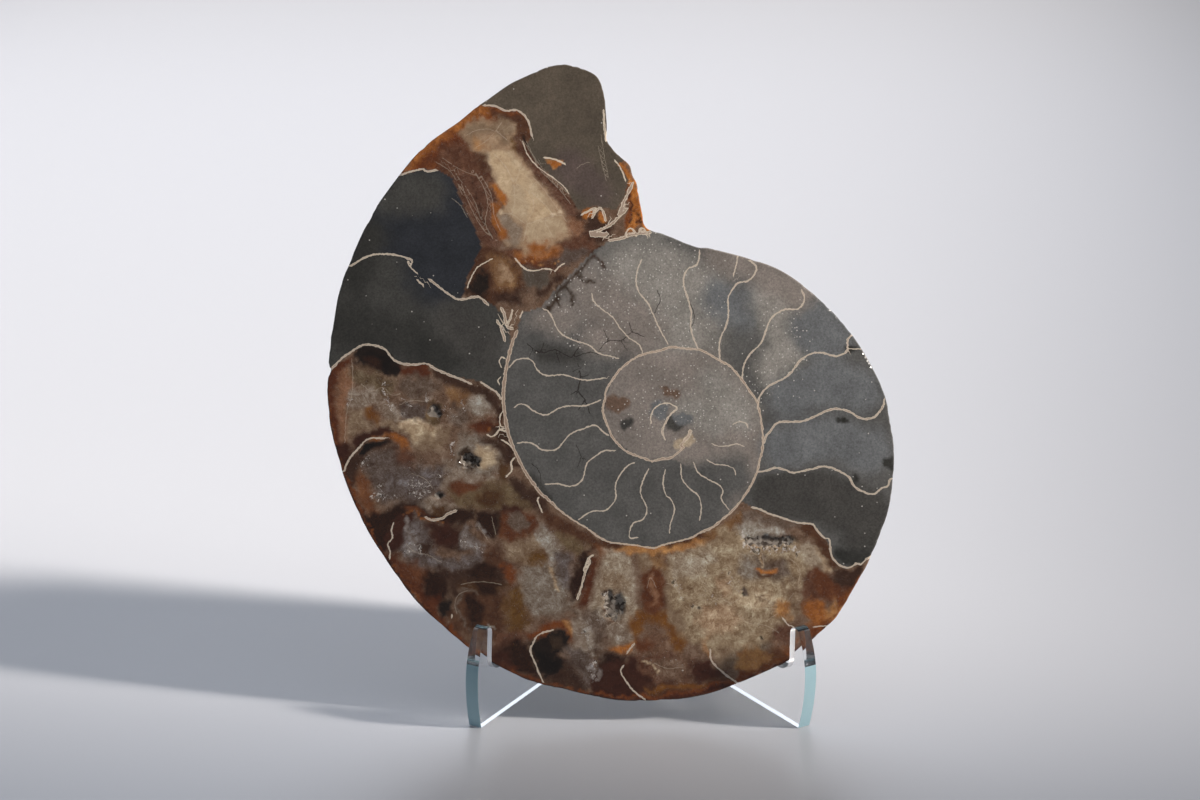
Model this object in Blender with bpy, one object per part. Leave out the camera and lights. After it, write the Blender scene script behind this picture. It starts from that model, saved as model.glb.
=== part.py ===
"""Half of a sawn and polished ammonite, leaning back on a clear acrylic easel.

The fossil is one stone: a flat cut face seen from the front, and behind it the domed half of the
coiled shell. The easel is one sheet folded into a V, each wing ending in a hooked foot.
Metres, +Z up, the cut face looks along -Y. Lengths below are in millimetres until they are built.
"""

import math

import bmesh
import bpy
import numpy as np
from mathutils import Matrix, Vector
from mathutils.geometry import delaunay_2d_cdt

MM = 0.001

# Driving dimensions of the fossil
FACE_HEIGHT = 140.0
FACE_LEAN = math.radians(18)
FACE_TOP_TILT = math.radians(1.2)
FACE_MIDDLE_HEIGHT = 68.1
WHORL_GROWTH = 1.93
THICKNESS_PER_RADIUS = 0.205
UMBILICUS_PER_RADIUS = 0.2
RIM_ROUNDING = 6.5
RIB_COUNT = 44
RIB_HEIGHT = 0.35
POINT_SPACING = 2.5

# Driving dimensions of the easel
SHEET = 3.0
WING_HALF_ANGLE = math.radians(30.5)
FOLD_RADIUS = 5.0
WING_LENGTH = 69.6
EASEL_SIDE_SHIFT = 9.2
EASEL_FRONT = -23.8
EASEL_TOP = 92.0
SHOULDER_BACK = 60.9
SEAT_BACK = 21.3
SEAT_HEIGHT = 11.8
LIP_BACK = 6.1
LIP_TOP = 22.7
LIP_SETBACK = 2.0
BREAST_HEIGHT = 11.5
FOOT_SETBACK = 1.7

# Places read from the photograph, in its pixels
PHOTO_MIDDLE = (600, 400)
COIL_CENTRE = (678, 430)
MOUTH_CORNER = (655, 233)
OUTLINE = [
    (332.4, 336), (335.6, 320), (342, 287), (355, 253), (374, 214), (390, 190), (415, 158.5),
    (433, 141), (464, 119.5), (479.5, 107), (495, 96.5), (515, 83), (531, 75.5), (546, 69),
    (556, 65.5), (568, 64), (579.5, 66), (591, 70), (600, 75), (605, 82), (609, 95), (610, 109),
    (611, 125), (611, 139), (617, 150), (624, 157), (633, 165.5), (636, 176), (640, 184),
    (642, 196), (645, 214), (648, 227), (656, 232), (667, 235), (684, 242.5), (700, 248.5),
    (711, 249.5), (729, 254), (750, 260), (780, 271), (807, 289), (836, 316), (855, 339),
    (873, 369), (886, 398), (892, 427), (895, 456), (893, 490), (886, 523), (870, 562),
    (855.5, 587.5), (835.5, 620), (815, 639), (790, 661), (771, 671), (734, 686), (703.5, 696),
    (671, 701), (626.5, 701.5), (598, 698), (561, 689), (529.5, 681), (502, 668), (470, 649),
    (445, 628), (411, 594.5), (379, 548), (360, 514), (343, 471), (331.6, 426), (328.4, 389),
    (329, 374.5), (331.6, 366), (330, 362.5), (330.8, 352),
]
PIT_PLACES = [
    {"at": (469, 459), "half": (10, 9), "deep": 1.2},
    {"at": (435, 411), "half": (8, 7), "deep": 0.6},
    {"at": (437, 493), "half": (7, 5), "deep": 0.6},
    {"at": (611, 606), "half": (11, 19), "deep": 1.0},
    {"at": (768, 543), "half": (29, 9), "deep": 0.9},
]

TALLEST = min(y for x, y in OUTLINE)
LOWEST = max(y for x, y in OUTLINE)
MM_PER_PIXEL = FACE_HEIGHT / (LOWEST - TALLEST)


# The cut face

def on_face(place):
    """Millimetres across and up the face, from the photograph's middle."""
    right = (place[0] - PHOTO_MIDDLE[0]) * MM_PER_PIXEL
    up = (PHOTO_MIDDLE[1] - place[1]) * MM_PER_PIXEL
    cos, sin = math.cos(FACE_TOP_TILT), math.sin(FACE_TOP_TILT)
    return (right * cos - up * sin, right * sin + up * cos)


def smooth_through(points, steps=2):
    """A closed Catmull-Rom curve through the points."""
    made = []
    for i in range(len(points)):
        a, b, c, d = (np.array(points[(i + k) % len(points)]) for k in (-1, 0, 1, 2))
        for step in range(steps):
            t = step / steps
            made.append(0.5 * (2 * b + (c - a) * t + (2 * a - 5 * b + 4 * c - d) * t ** 2
                               + (3 * b - a - 3 * c + d) * t ** 3))
    return np.array(made)


EDGE = smooth_through([on_face(place) for place in OUTLINE])
COIL = np.array(on_face(COIL_CENTRE))


def to_edge(points):
    """Distance from each point to the outline."""
    start, along = EDGE, np.roll(EDGE, -1, axis=0) - EDGE
    offset = points[:, None, :] - start[None]
    part = np.clip((offset * along).sum(2) / (along ** 2).sum(1), 0, 1)
    return np.hypot(*np.moveaxis(offset - part[..., None] * along, 2, 0)).min(1)


def inside_edge(points):
    """True for each point within the outline."""
    x, y = points[:, 0, None], points[:, 1, None]
    x0, y0 = EDGE.T
    x1, y1 = np.roll(EDGE, -1, axis=0).T
    crosses = (y0 > y) != (y1 > y)
    with np.errstate(divide="ignore", invalid="ignore"):
        at = x0 + (y - y0) / (y1 - y0) * (x1 - x0)
    return (crosses & (x < at)).sum(1) % 2 == 1


# The coil: how far round the last whorl a point lies, and how thick the shell is there

def mouth_angle(radius):
    """Bearing of the shell's mouth, which runs from the outline's corner in to the umbilicus."""
    corner = np.array(on_face(MOUTH_CORNER)) - COIL
    corner_bearing = math.atan2(corner[1], corner[0])
    inward = np.clip(1 - radius / np.hypot(*corner), 0, 1)
    return corner_bearing - math.radians(5) * np.sin(math.pi * inward)


def turn_of(points):
    """(radius, part of a whorl from the mouth line) of each point, seen from the front."""
    offset = points - COIL
    radius = np.hypot(offset[:, 0], offset[:, 1])
    bearing = np.arctan2(offset[:, 1], offset[:, 0])
    return radius, ((mouth_angle(radius) - bearing) / math.tau) % 1


def edge_radius(part):
    """Radius of the last whorl's outer edge at a part of a turn."""
    radius, at = turn_of(EDGE)
    keep = (at > 0.005) & (at < 0.985)
    order = np.argsort(at[keep])
    return np.interp(part, at[keep][order], radius[keep][order])


def flank(across):
    """Thickness across a whorl, from the umbilicus (0) to the outer edge (1), as a share."""
    wall = np.sqrt(np.clip(1 - (1 - np.clip(across / 0.12, 0, 1)) ** 2, 0, 1))
    fall = 1 - 0.5 * np.clip((across - 0.3) / 0.7, 0, 1) ** 1.7
    return np.where((across > 0) & (across <= 1.2), wall * fall, 0)


def shell_depth(points):
    """Depth of the domed back behind the cut face."""
    radius, part = turn_of(points)
    outer = edge_radius(part)
    deep = np.full(len(points), 1.2)
    for whorl in range(5):
        size = outer / WHORL_GROWTH ** whorl
        hole = size * UMBILICUS_PER_RADIUS
        across = (radius - hole) / (size - hole)
        across = np.where((whorl == 0) | (across <= 1), across, -1)
        deep = np.maximum(deep, size * THICKNESS_PER_RADIUS * flank(across))
    across = np.clip(radius / outer, 0, 1)
    ribs = RIB_HEIGHT * np.sin(math.tau * RIB_COUNT * (part + 0.03 * across ** 2))
    deep = deep + ribs * np.clip((across - 0.45) / 0.3, 0, 1)
    rim = np.clip(to_edge(points) / RIM_ROUNDING, 0, 1)
    return deep * np.sqrt(np.clip(1 - (1 - rim) ** 2, 0, 1))


# The stone's mesh: one set of points for the face, one for the back, sharing the outline

def rings_inside(insets):
    """Copies of the outline set in by each distance, where they stay that far from it."""
    along = np.roll(EDGE, -1, axis=0) - np.roll(EDGE, 1, axis=0)
    inward = np.stack([along[:, 1], -along[:, 0]], axis=1) / np.hypot(*along.T)[:, None]
    found = []
    for inset in insets:
        ring = EDGE + inward * inset
        keep = inside_edge(ring) & (to_edge(ring) > inset * 0.93)
        found.append(ring[keep])
    return np.concatenate(found)


def field_inside(spacing, margin):
    """Points in even triangles over the face, clear of the outline by a margin."""
    low, high = EDGE.min(0), EDGE.max(0)
    found = []
    for row, y in enumerate(np.arange(low[1], high[1], spacing * math.sqrt(0.75))):
        xs = np.arange(low[0] + (row % 2) * spacing / 2, high[0], spacing)
        found.append(np.stack([xs, np.full(len(xs), y)], axis=1))
    field = np.concatenate(found)
    return field[inside_edge(field) & (to_edge(field) > margin)]


def mouth_rows():
    """Two close rows of points along the mouth line, so that its step is a clean wall."""
    corner = np.hypot(*(np.array(on_face(MOUTH_CORNER)) - COIL))
    radii = np.arange(corner * 0.32, corner - 2, 1.5)
    found = []
    for side in (-0.35, 0.35):
        bearing = mouth_angle(radii) + side / radii
        found.append(COIL + np.stack([radii * np.cos(bearing), radii * np.sin(bearing)], axis=1))
    return np.concatenate(found)


def thin_near(points, kept, clear):
    """The points that lie at least a distance from every kept one."""
    gap = np.hypot(*np.moveaxis(points[:, None] - kept[None], 2, 0)).min(1)
    return points[gap > clear]


def pit_points():
    """Rings of points round each pit of the face."""
    found = []
    for pit in PIT_PLACES:
        middle = np.array(on_face(pit["at"]))
        half = np.array(pit["half"]) * MM_PER_PIXEL
        found.append([middle])
        for share in (0.45, 0.8, 1.0, 1.12):
            turns = np.arange(12) / 12 * math.tau
            found.append(middle + half * share * np.stack([np.cos(turns), np.sin(turns)], axis=1))
    return np.concatenate(found)


def pit_depth(points):
    """How far the pits sink the cut face at each point."""
    deep = np.zeros(len(points))
    for pit in PIT_PLACES:
        half = np.array(pit["half"]) * MM_PER_PIXEL
        reach = np.hypot(*((points - np.array(on_face(pit["at"]))) / half).T)
        deep = np.maximum(deep, pit["deep"] * np.clip((1 - reach) / 0.5, 0, 1))
    return deep


def triangles(points):
    """Triangles over the points, within the outline, whose points come first."""
    ends = [(i, (i + 1) % len(EDGE)) for i in range(len(EDGE))]
    made = delaunay_2d_cdt([Vector(p) for p in points], ends, [], 1, 1e-6)
    assert len(made[0]) == len(points), "two points fell together"
    return [tuple(face) for face in made[2]]


def face_to_world():
    """Matrix from face millimetres (across, into the stone, up) to the object's frame."""
    stand_up = Matrix.Translation((0, 0, FACE_MIDDLE_HEIGHT * MM))
    return stand_up @ Matrix.Rotation(-FACE_LEAN, 4, "X") @ Matrix.Scale(MM, 4)


def make_stone():
    front = pit_points()
    rings = rings_inside((0.15, 0.6, 1.5, 3.0, 5.0))
    rows = mouth_rows()
    field = thin_near(field_inside(POINT_SPACING, 6.2), rows, 1.2)
    back = np.concatenate([rings, rows, field])

    mesh = bpy.data.meshes.new("ammonite_half")
    work = bmesh.new()
    rim = [work.verts.new((x, 0, y)) for x, y in EDGE]
    sides = ((front, pit_depth(front), False), (back, shell_depth(back), True))
    for places, depth, turned in sides:
        verts = rim + [work.verts.new((x, d, y)) for (x, y), d in zip(places, depth)]
        for face in triangles(np.concatenate([EDGE, places])):
            corners = [verts[i] for i in face]
            work.faces.new(corners[::-1] if turned else corners)
    bmesh.ops.recalc_face_normals(work, faces=work.faces)
    work.transform(face_to_world())
    work.to_mesh(mesh)
    work.free()
    mesh.shade_smooth()
    mesh.set_sharp_from_angle(angle=math.radians(40))
    return bpy.data.objects.new("ammonite_half", mesh)


# The easel: a flat sheet with a hooked foot at each end, then folded

def rounded(corners, steps=5):
    """The outline through (x, y, radius) corners, each corner with a radius turned into an arc."""
    made = []
    for i, (x, y, radius) in enumerate(corners):
        if not radius:
            made.append((x, y))
            continue
        here = Vector((x, y))
        back = (Vector(corners[i - 1][:2]) - here).normalized()
        ahead = (Vector(corners[i + 1][:2]) - here).normalized()
        half = back.angle(ahead) / 2
        middle = here + (back + ahead).normalized() * (radius / math.sin(half))
        first = here + back * (radius / math.tan(half)) - middle
        last = here + ahead * (radius / math.tan(half)) - middle
        for step in range(steps + 1):
            made.append(tuple(middle + first.slerp(last, step / steps).normalized() * radius))
    return made


def breast(height):
    """How far the curved front edge of a foot lies behind its foremost point."""
    if height < BREAST_HEIGHT:
        return FOOT_SETBACK * (1 - height / BREAST_HEIGHT) ** 2
    return LIP_SETBACK * ((height - BREAST_HEIGHT) / (LIP_TOP - 2.7 - BREAST_HEIGHT)) ** 2


def wing_outline():
    """One wing from the top of the fold forward and down, as (distance back from its front, height)."""
    corners = [
        (WING_LENGTH, EASEL_TOP, 0),
        (SHOULDER_BACK, EASEL_TOP, 5),
        (SEAT_BACK, SEAT_HEIGHT - 0.6, 3.5),
        (LIP_BACK - 0.2, SEAT_HEIGHT, 3.2),
        (LIP_BACK, LIP_TOP, 1.4),
        (LIP_SETBACK + 1.3, LIP_TOP, 1.6),
        (breast(LIP_TOP - 2.7), LIP_TOP - 2.7, 0),
    ]
    front = [LIP_TOP - 2.7 - step * (LIP_TOP - 2.7) / 12 for step in range(1, 13)]
    return rounded(corners) + [(breast(height), height) for height in front]


def fold_place(across, off):
    """Where a point of the flat sheet lands in plan, at a distance off its middle surface."""
    bend = math.pi / 2 - WING_HALF_ANGLE
    side = math.copysign(1, across)
    run = abs(across)
    turned = min(run / FOLD_RADIUS, bend)
    straight = max(run - FOLD_RADIUS * bend, 0)
    x = FOLD_RADIUS * math.sin(turned) + straight * math.cos(bend) + off * math.sin(turned)
    y = FOLD_RADIUS * (math.cos(turned) - 1) - straight * math.sin(bend) + off * math.cos(turned)
    return side * x, y


def make_easel():
    half = [(WING_LENGTH - back, height) for back, height in wing_outline()]
    left = [(-across, height) for across, height in half[:0:-1]]
    mesh = bpy.data.meshes.new("stand")
    work = bmesh.new()
    sheet = work.faces.new([work.verts.new((x, 0, z)) for x, z in half + left])
    bend = FOLD_RADIUS * (math.pi / 2 - WING_HALF_ANGLE)
    for step in range(-4, 5):
        everything = list(work.verts) + list(work.edges) + list(work.faces)
        bmesh.ops.bisect_plane(work, geom=everything, plane_co=(bend * step / 4, 0, 0),
                               plane_no=(1, 0, 0), dist=1e-5)
    grown = bmesh.ops.extrude_face_region(work, geom=list(work.faces))
    outer = {v for v in grown["geom"] if isinstance(v, bmesh.types.BMVert)}
    front = fold_place(WING_LENGTH, 0)[1]
    for vert in work.verts:
        off = SHEET / 2 if vert in outer else -SHEET / 2
        x, y = fold_place(vert.co.x, off)
        vert.co = Vector((x + EASEL_SIDE_SHIFT, y - front + EASEL_FRONT, vert.co.z)) * MM
    bmesh.ops.recalc_face_normals(work, faces=work.faces)
    work.to_mesh(mesh)
    work.free()
    mesh.shade_smooth()
    mesh.set_sharp_from_angle(angle=math.radians(30))
    return bpy.data.objects.new("stand", mesh)


# Materials

def make_material(name, colour, roughness, transmission=0.0, ior=1.5):
    material = bpy.data.materials.new(name)
    material.use_nodes = True
    shader = material.node_tree.nodes["Principled BSDF"]
    shader.inputs["Base Color"].default_value = (*colour, 1)
    shader.inputs["Roughness"].default_value = roughness
    shader.inputs["Metallic"].default_value = 0.0
    shader.inputs["Transmission Weight"].default_value = transmission
    shader.inputs["IOR"].default_value = ior
    return material


# Assembly

def centre_on_floor(objects):
    """Slides the whole object so that the middle of its box is over the origin."""
    points = [obj.matrix_world @ v.co for obj in objects for v in obj.data.vertices]
    low = [min(p[axis] for p in points) for axis in range(3)]
    high = [max(p[axis] for p in points) for axis in range(3)]
    shift = Matrix.Translation((-(low[0] + high[0]) / 2, -(low[1] + high[1]) / 2, -low[2]))
    for obj in objects:
        obj.data.transform(shift)


for old in list(bpy.data.objects):
    bpy.data.objects.remove(old, do_unlink=True)

parts = bpy.data.collections.new("ammonite_half_on_stand")
bpy.context.scene.collection.children.link(parts)

stone = make_stone()
stone.data.materials.append(make_material("polished_calcite_fossil", (0.12, 0.06, 0.03), 0.15))
easel = make_easel()
easel.data.materials.append(make_material("clear_acrylic", (0.93, 0.98, 0.98), 0.03, 1.0, 1.49))

for obj in (stone, easel):
    parts.objects.link(obj)
centre_on_floor((stone, easel))
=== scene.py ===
"""Half of a sawn and polished ammonite, leaning back on a clear acrylic easel: its looks.

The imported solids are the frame. The stone is made again, much finer, in the same place and form,
and the easel is a copy of its solid with softened edges. Places read from the photograph are
pixels of its 1200 x 800 frame, which lies square on the cut face.
"""

import math

import bpy
import numpy as np
from mathutils import Matrix, Vector
from mathutils.geometry import delaunay_2d_cdt


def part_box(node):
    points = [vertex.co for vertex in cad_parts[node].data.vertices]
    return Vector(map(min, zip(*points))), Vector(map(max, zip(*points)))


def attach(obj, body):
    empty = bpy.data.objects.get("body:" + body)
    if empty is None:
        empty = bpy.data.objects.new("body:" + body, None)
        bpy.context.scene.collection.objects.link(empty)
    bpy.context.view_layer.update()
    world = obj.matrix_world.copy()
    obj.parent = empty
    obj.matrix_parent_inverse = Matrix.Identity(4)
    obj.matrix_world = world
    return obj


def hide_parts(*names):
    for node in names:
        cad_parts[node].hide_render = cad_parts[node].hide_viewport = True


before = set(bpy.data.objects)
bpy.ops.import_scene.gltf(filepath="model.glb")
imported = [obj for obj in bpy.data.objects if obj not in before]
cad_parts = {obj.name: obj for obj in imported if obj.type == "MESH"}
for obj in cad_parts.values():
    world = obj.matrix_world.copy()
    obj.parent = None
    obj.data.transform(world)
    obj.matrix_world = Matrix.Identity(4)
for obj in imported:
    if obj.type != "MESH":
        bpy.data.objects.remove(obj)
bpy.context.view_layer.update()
MM = 0.001


# The camera
# It looks straight at the cut face, as far down as the face leans back, and a little from the
# left, with a lens of 85 mm on a full frame. The face stands turned slightly in the picture.

FACE_LEAN = math.radians(18)
FACE_TOP_TILT = math.radians(1.2)
FACE_MIDDLE_HEIGHT = 68.1
MM_PER_PIXEL = 140 / (701.5 - 64)
PHOTO_MIDDLE = (600, 400)
LENS = 85
SENSOR = 36
PHOTO_WIDTH = 1200
CAMERA_SIDE = math.radians(2.8)

# The face's outline, clockwise from the left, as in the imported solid
OUTLINE = [
    (332.4, 336), (335.6, 320), (342, 287), (355, 253), (374, 214), (390, 190), (415, 158.5),
    (433, 141), (464, 119.5), (479.5, 107), (495, 96.5), (515, 83), (531, 75.5), (546, 69),
    (556, 65.5), (568, 64), (579.5, 66), (591, 70), (600, 75), (605, 82), (609, 95), (610, 109),
    (611, 125), (611, 139), (617, 150), (624, 157), (633, 165.5), (636, 176), (640, 184),
    (642, 196), (645, 214), (648, 227), (656, 232), (667, 235), (684, 242.5), (700, 248.5),
    (711, 249.5), (729, 254), (750, 260), (780, 271), (807, 289), (836, 316), (855, 339),
    (873, 369), (886, 398), (892, 427), (895, 456), (893, 490), (886, 523), (870, 562),
    (855.5, 587.5), (835.5, 620), (815, 639), (790, 661), (771, 671), (734, 686), (703.5, 696),
    (671, 701), (626.5, 701.5), (598, 698), (561, 689), (529.5, 681), (502, 668), (470, 649),
    (445, 628), (411, 594.5), (379, 548), (360, 514), (343, 471), (331.6, 426), (328.4, 389),
    (329, 374.5), (331.6, 366), (330, 362.5), (330.8, 352),
]


def on_face(places):
    """Millimetres across and up the face, from the photograph's middle, for each pixel place."""
    offset = (np.array(places, float) - PHOTO_MIDDLE) * (MM_PER_PIXEL, -MM_PER_PIXEL)
    cos, sin = math.cos(FACE_TOP_TILT), math.sin(FACE_TOP_TILT)
    return offset @ np.array([[cos, sin], [-sin, cos]])


def smooth_through(points, steps, closed=False):
    """A Catmull-Rom curve through the points."""
    points = np.array(points, float)
    if not closed:
        before, after = 2 * points[:1] - points[1:2], 2 * points[-1:] - points[-2:-1]
        points = np.concatenate([before, points, after])
    spans = len(points) if closed else len(points) - 3
    made = []
    for i in range(spans):
        first = i - 1 if closed else i
        a, b, c, d = (points[(first + k) % len(points)] for k in range(4))
        for step in range(steps):
            t = step / steps
            made.append(0.5 * (2 * b + (c - a) * t + (2 * a - 5 * b + 4 * c - d) * t ** 2
                               + (3 * b - a - 3 * c + d) * t ** 3))
    if not closed:
        made.append(points[-2])
    return np.array(made)


PACKED_EDGE = smooth_through(on_face(OUTLINE), 2, closed=True)
stone_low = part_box("ammonite_half")[0]
FACE_TO_WORLD = (
    Matrix.Translation((
        stone_low.x - PACKED_EDGE[:, 0].min() * MM,
        stone_low.y - PACKED_EDGE[:, 1].min() * math.sin(FACE_LEAN) * MM,
        FACE_MIDDLE_HEIGHT * MM,
    ))
    @ Matrix.Rotation(-FACE_LEAN, 4, "X")
    @ Matrix.Scale(MM, 4)
)

focal_pixels = LENS / SENSOR * PHOTO_WIDTH
distance = focal_pixels * MM_PER_PIXEL * MM
ahead = Vector((
    math.sin(CAMERA_SIDE) * math.cos(FACE_LEAN),
    math.cos(CAMERA_SIDE) * math.cos(FACE_LEAN),
    -math.sin(FACE_LEAN),
))
level = Vector((math.cos(CAMERA_SIDE), -math.sin(CAMERA_SIDE), 0))
upward = level.cross(ahead)
right = level * math.cos(FACE_TOP_TILT) + upward * math.sin(FACE_TOP_TILT)
above = upward * math.cos(FACE_TOP_TILT) - level * math.sin(FACE_TOP_TILT)
camera = bpy.data.objects.new("photo_camera", bpy.data.cameras.new("photo_camera"))
camera.data.lens = LENS
camera.data.sensor_width = SENSOR
camera.data.clip_start = 0.05
camera.matrix_world = Matrix.Translation(FACE_TO_WORLD.translation - ahead * distance) @ Matrix(
    (right, above, -ahead)).transposed().to_4x4()
bpy.context.scene.collection.objects.link(camera)
bpy.context.scene.camera = camera
bpy.context.scene.view_settings.view_transform = "Standard"


# The stone: its mesh
# One half of a coiled shell that turned to stone, sawn through the coil and polished flat. Its
# edge, its domed back and the voids in its face have forms that no primitive starts from, so its
# points are laid out over the outline that the photograph gives and joined into triangles.

FRONT_SPACING = 0.48
FRONT_MARGIN = 0.25
BACK_SPACING = 1.0
BACK_RINGS = [0.15, 0.6, 1.5, 2.7, 4.0, 5.3]
BACK_MARGIN = 6.2
EDGE_STEPS = 9
EDGE_CHAMFER = 0.22
EDGE_WEAR = 0.16
WHORL_GROWTH = 1.93
THICKNESS_PER_RADIUS = 0.205
UMBILICUS_PER_RADIUS = 0.2
RIM_ROUNDING = 6.5
RIB_COUNT = 44
RIB_HEIGHT = 0.35
RIBS_FROM = 0.45
THINNEST_SHELL = 1.2
MOUTH_STEP = 0.35
MOUTH_SWING = math.radians(5)
MOUTH_ROW_CLEARANCE = 0.6
FAR = 9.0
COIL = on_face((678, 430))
MOUTH_CORNER = on_face((655, 233)) - COIL
VOIDS = [
    {"at": (469, 459), "half": (10, 9), "deep": 0.9},
    {"at": (434, 409), "half": (8, 8), "deep": 0.45},
    {"at": (437, 493), "half": (7, 4), "deep": 0.4},
    {"at": (611, 606), "half": (11, 17), "deep": 0.7},
    {"at": (768, 544), "half": (29, 7), "deep": 0.6},
]


def clouds(points, size, seed):
    """Smooth random values from -1 to 1, in lumps of a size in the points' own unit."""
    lattice = np.random.default_rng(seed).uniform(-1, 1, (128, 128))
    spot = points / size
    cell = np.floor(spot).astype(int)
    part = spot - cell
    part = part * part * (3 - 2 * part)
    x, y = cell.T % 128
    low = lattice[x, y] * (1 - part[:, 0]) + lattice[(x + 1) % 128, y] * part[:, 0]
    high = (lattice[x, (y + 1) % 128] * (1 - part[:, 0])
            + lattice[(x + 1) % 128, (y + 1) % 128] * part[:, 0])
    return low * (1 - part[:, 1]) + high * part[:, 1]


def nearest_on(points, line, closed=False):
    """(distance to the line, signed by side, share of the line's length where that is)."""
    ends = np.roll(line, -1, axis=0) if closed else line[1:]
    starts = line if closed else line[:-1]
    along = ends - starts
    lengths = np.maximum(np.hypot(*along.T), 1e-9)
    run = np.concatenate([[0], np.cumsum(lengths)[:-1]])
    far, share = np.empty(len(points)), np.empty(len(points))
    for some in np.array_split(np.arange(len(points)), max(1, len(points) // 4000)):
        offset = points[some, None] - starts
        part = np.clip((offset * along).sum(2) / lengths ** 2, 0, 1)
        gap = offset - part[..., None] * along
        reach = np.hypot(gap[..., 0], gap[..., 1])
        best = reach.argmin(1)
        rows = np.arange(len(some))
        side = along[best, 0] * offset[rows, best, 1] - along[best, 1] * offset[rows, best, 0]
        far[some] = np.copysign(reach[rows, best], side)
        share[some] = (run[best] + part[rows, best] * lengths[best]) / lengths.sum()
    return far, share


def within(points, ring):
    """True for each point inside the closed ring."""
    inside = np.zeros(len(points), bool)
    for (x0, y0), (x1, y1) in zip(ring, np.roll(ring, -1, axis=0)):
        crosses = (y0 > points[:, 1]) != (y1 > points[:, 1])
        if y0 != y1:
            inside ^= crosses & (points[:, 0] < x0 + (points[:, 1] - y0) / (y1 - y0) * (x1 - x0))
    return inside


def mouth_angle(radius):
    """Bearing of the shell's mouth, which runs from the outline's corner in to the umbilicus."""
    inward = np.clip(1 - radius / np.hypot(*MOUTH_CORNER), 0, 1)
    corner_bearing = math.atan2(MOUTH_CORNER[1], MOUTH_CORNER[0])
    return corner_bearing - MOUTH_SWING * np.sin(math.pi * inward)


def turn_of(points):
    """(radius, part of a whorl from the mouth line) of each point, seen from the front."""
    offset = points - COIL
    radius = np.hypot(offset[:, 0], offset[:, 1])
    bearing = np.arctan2(offset[:, 1], offset[:, 0])
    return radius, ((mouth_angle(radius) - bearing) / math.tau) % 1


def edge_radius(part):
    """Radius of the last whorl's outer edge at a part of a turn."""
    radius, at = turn_of(PACKED_EDGE)
    keep = (at > 0.005) & (at < 0.985)
    order = np.argsort(at[keep])
    return np.interp(part, at[keep][order], radius[keep][order])


def flank(across):
    """Thickness across a whorl, from the umbilicus (0) to the outer edge (1), as a share."""
    wall = np.sqrt(np.clip(1 - (1 - np.clip(across / 0.12, 0, 1)) ** 2, 0, 1))
    fall = 1 - 0.5 * np.clip((across - 0.3) / 0.7, 0, 1) ** 1.7
    return np.where((across > 0) & (across <= 1.2), wall * fall, 0)


def shell_depth(points, edge_gap):
    """Depth of the domed back behind the cut face."""
    radius, part = turn_of(points)
    outer = edge_radius(part)
    deep = np.full(len(points), THINNEST_SHELL)
    for whorl in range(5):
        size = outer / WHORL_GROWTH ** whorl
        hole = size * UMBILICUS_PER_RADIUS
        across = (radius - hole) / (size - hole)
        across = np.where((whorl == 0) | (across <= 1), across, -1)
        deep = np.maximum(deep, size * THICKNESS_PER_RADIUS * flank(across))
    across = np.clip(radius / outer, 0, 1)
    ribs = RIB_HEIGHT * np.sin(math.tau * RIB_COUNT * (part + 0.03 * across ** 2))
    deep = deep + ribs * np.clip((across - RIBS_FROM) / 0.3, 0, 1)
    rim = np.clip(edge_gap / RIM_ROUNDING, 0, 1)
    return deep * np.sqrt(np.clip(1 - (1 - rim) ** 2, 0, 1))


def void_depth(points):
    """How far the crystal-lined voids sink the cut face, with rugged walls and floors."""
    deep = np.zeros(len(points))
    rugged = clouds(points, 1.1, 5) * 0.6 + clouds(points, 0.5, 6) * 0.4
    for void in VOIDS:
        half = np.array(void["half"]) * MM_PER_PIXEL
        reach = np.hypot(*((points - on_face(void["at"])) / half).T)
        bite = np.clip((1 - reach) / 0.5 + rugged * 0.7, 0, 1) * (reach < 1)
        deep = np.maximum(deep, void["deep"] * bite * (1 + 0.3 * rugged))
    return deep


def field_inside(spacing, margin, edge):
    """Points in even triangles over the face, clear of the outline by a margin."""
    low, high = edge.min(0), edge.max(0)
    found = []
    for row, y in enumerate(np.arange(low[1], high[1], spacing * math.sqrt(0.75))):
        xs = np.arange(low[0] + (row % 2) * spacing / 2, high[0], spacing)
        found.append(np.stack([xs, np.full(len(xs), y)], axis=1))
    field = np.concatenate(found)
    field = field[within(field, edge)]
    return field[np.abs(nearest_on(field, edge, closed=True)[0]) > margin]


def rings_inside(insets, edge):
    """Copies of the outline set in by each distance, where they stay that far from it."""
    along = np.roll(edge, -1, axis=0) - np.roll(edge, 1, axis=0)
    inward = np.stack([along[:, 1], -along[:, 0]], axis=1) / np.hypot(*along.T)[:, None]
    found = []
    for inset in insets:
        ring = edge + inward * inset
        ring = ring[within(ring, edge)]
        found.append(ring[np.abs(nearest_on(ring, edge, closed=True)[0]) > inset * 0.93])
    return np.concatenate(found)


def mouth_rows():
    """Two close rows of points along the mouth line, so that its step is a clean wall."""
    corner = np.hypot(*MOUTH_CORNER)
    radii = np.arange(corner * 0.32, corner - 1, 0.8)
    found = []
    for side in (-MOUTH_STEP, MOUTH_STEP):
        bearing = mouth_angle(radii) + side / radii
        found.append(COIL + np.stack([radii * np.cos(bearing), radii * np.sin(bearing)], axis=1))
    return np.concatenate(found)


def triangles(points, edge):
    """Triangles over the points, within the outline, whose points come first."""
    ends = [(i, (i + 1) % len(edge)) for i in range(len(edge))]
    made = delaunay_2d_cdt([Vector(p) for p in points], ends, [], 1, 1e-6)
    assert len(made[0]) == len(points), "two points fell together"
    return np.array(made[2])


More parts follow.
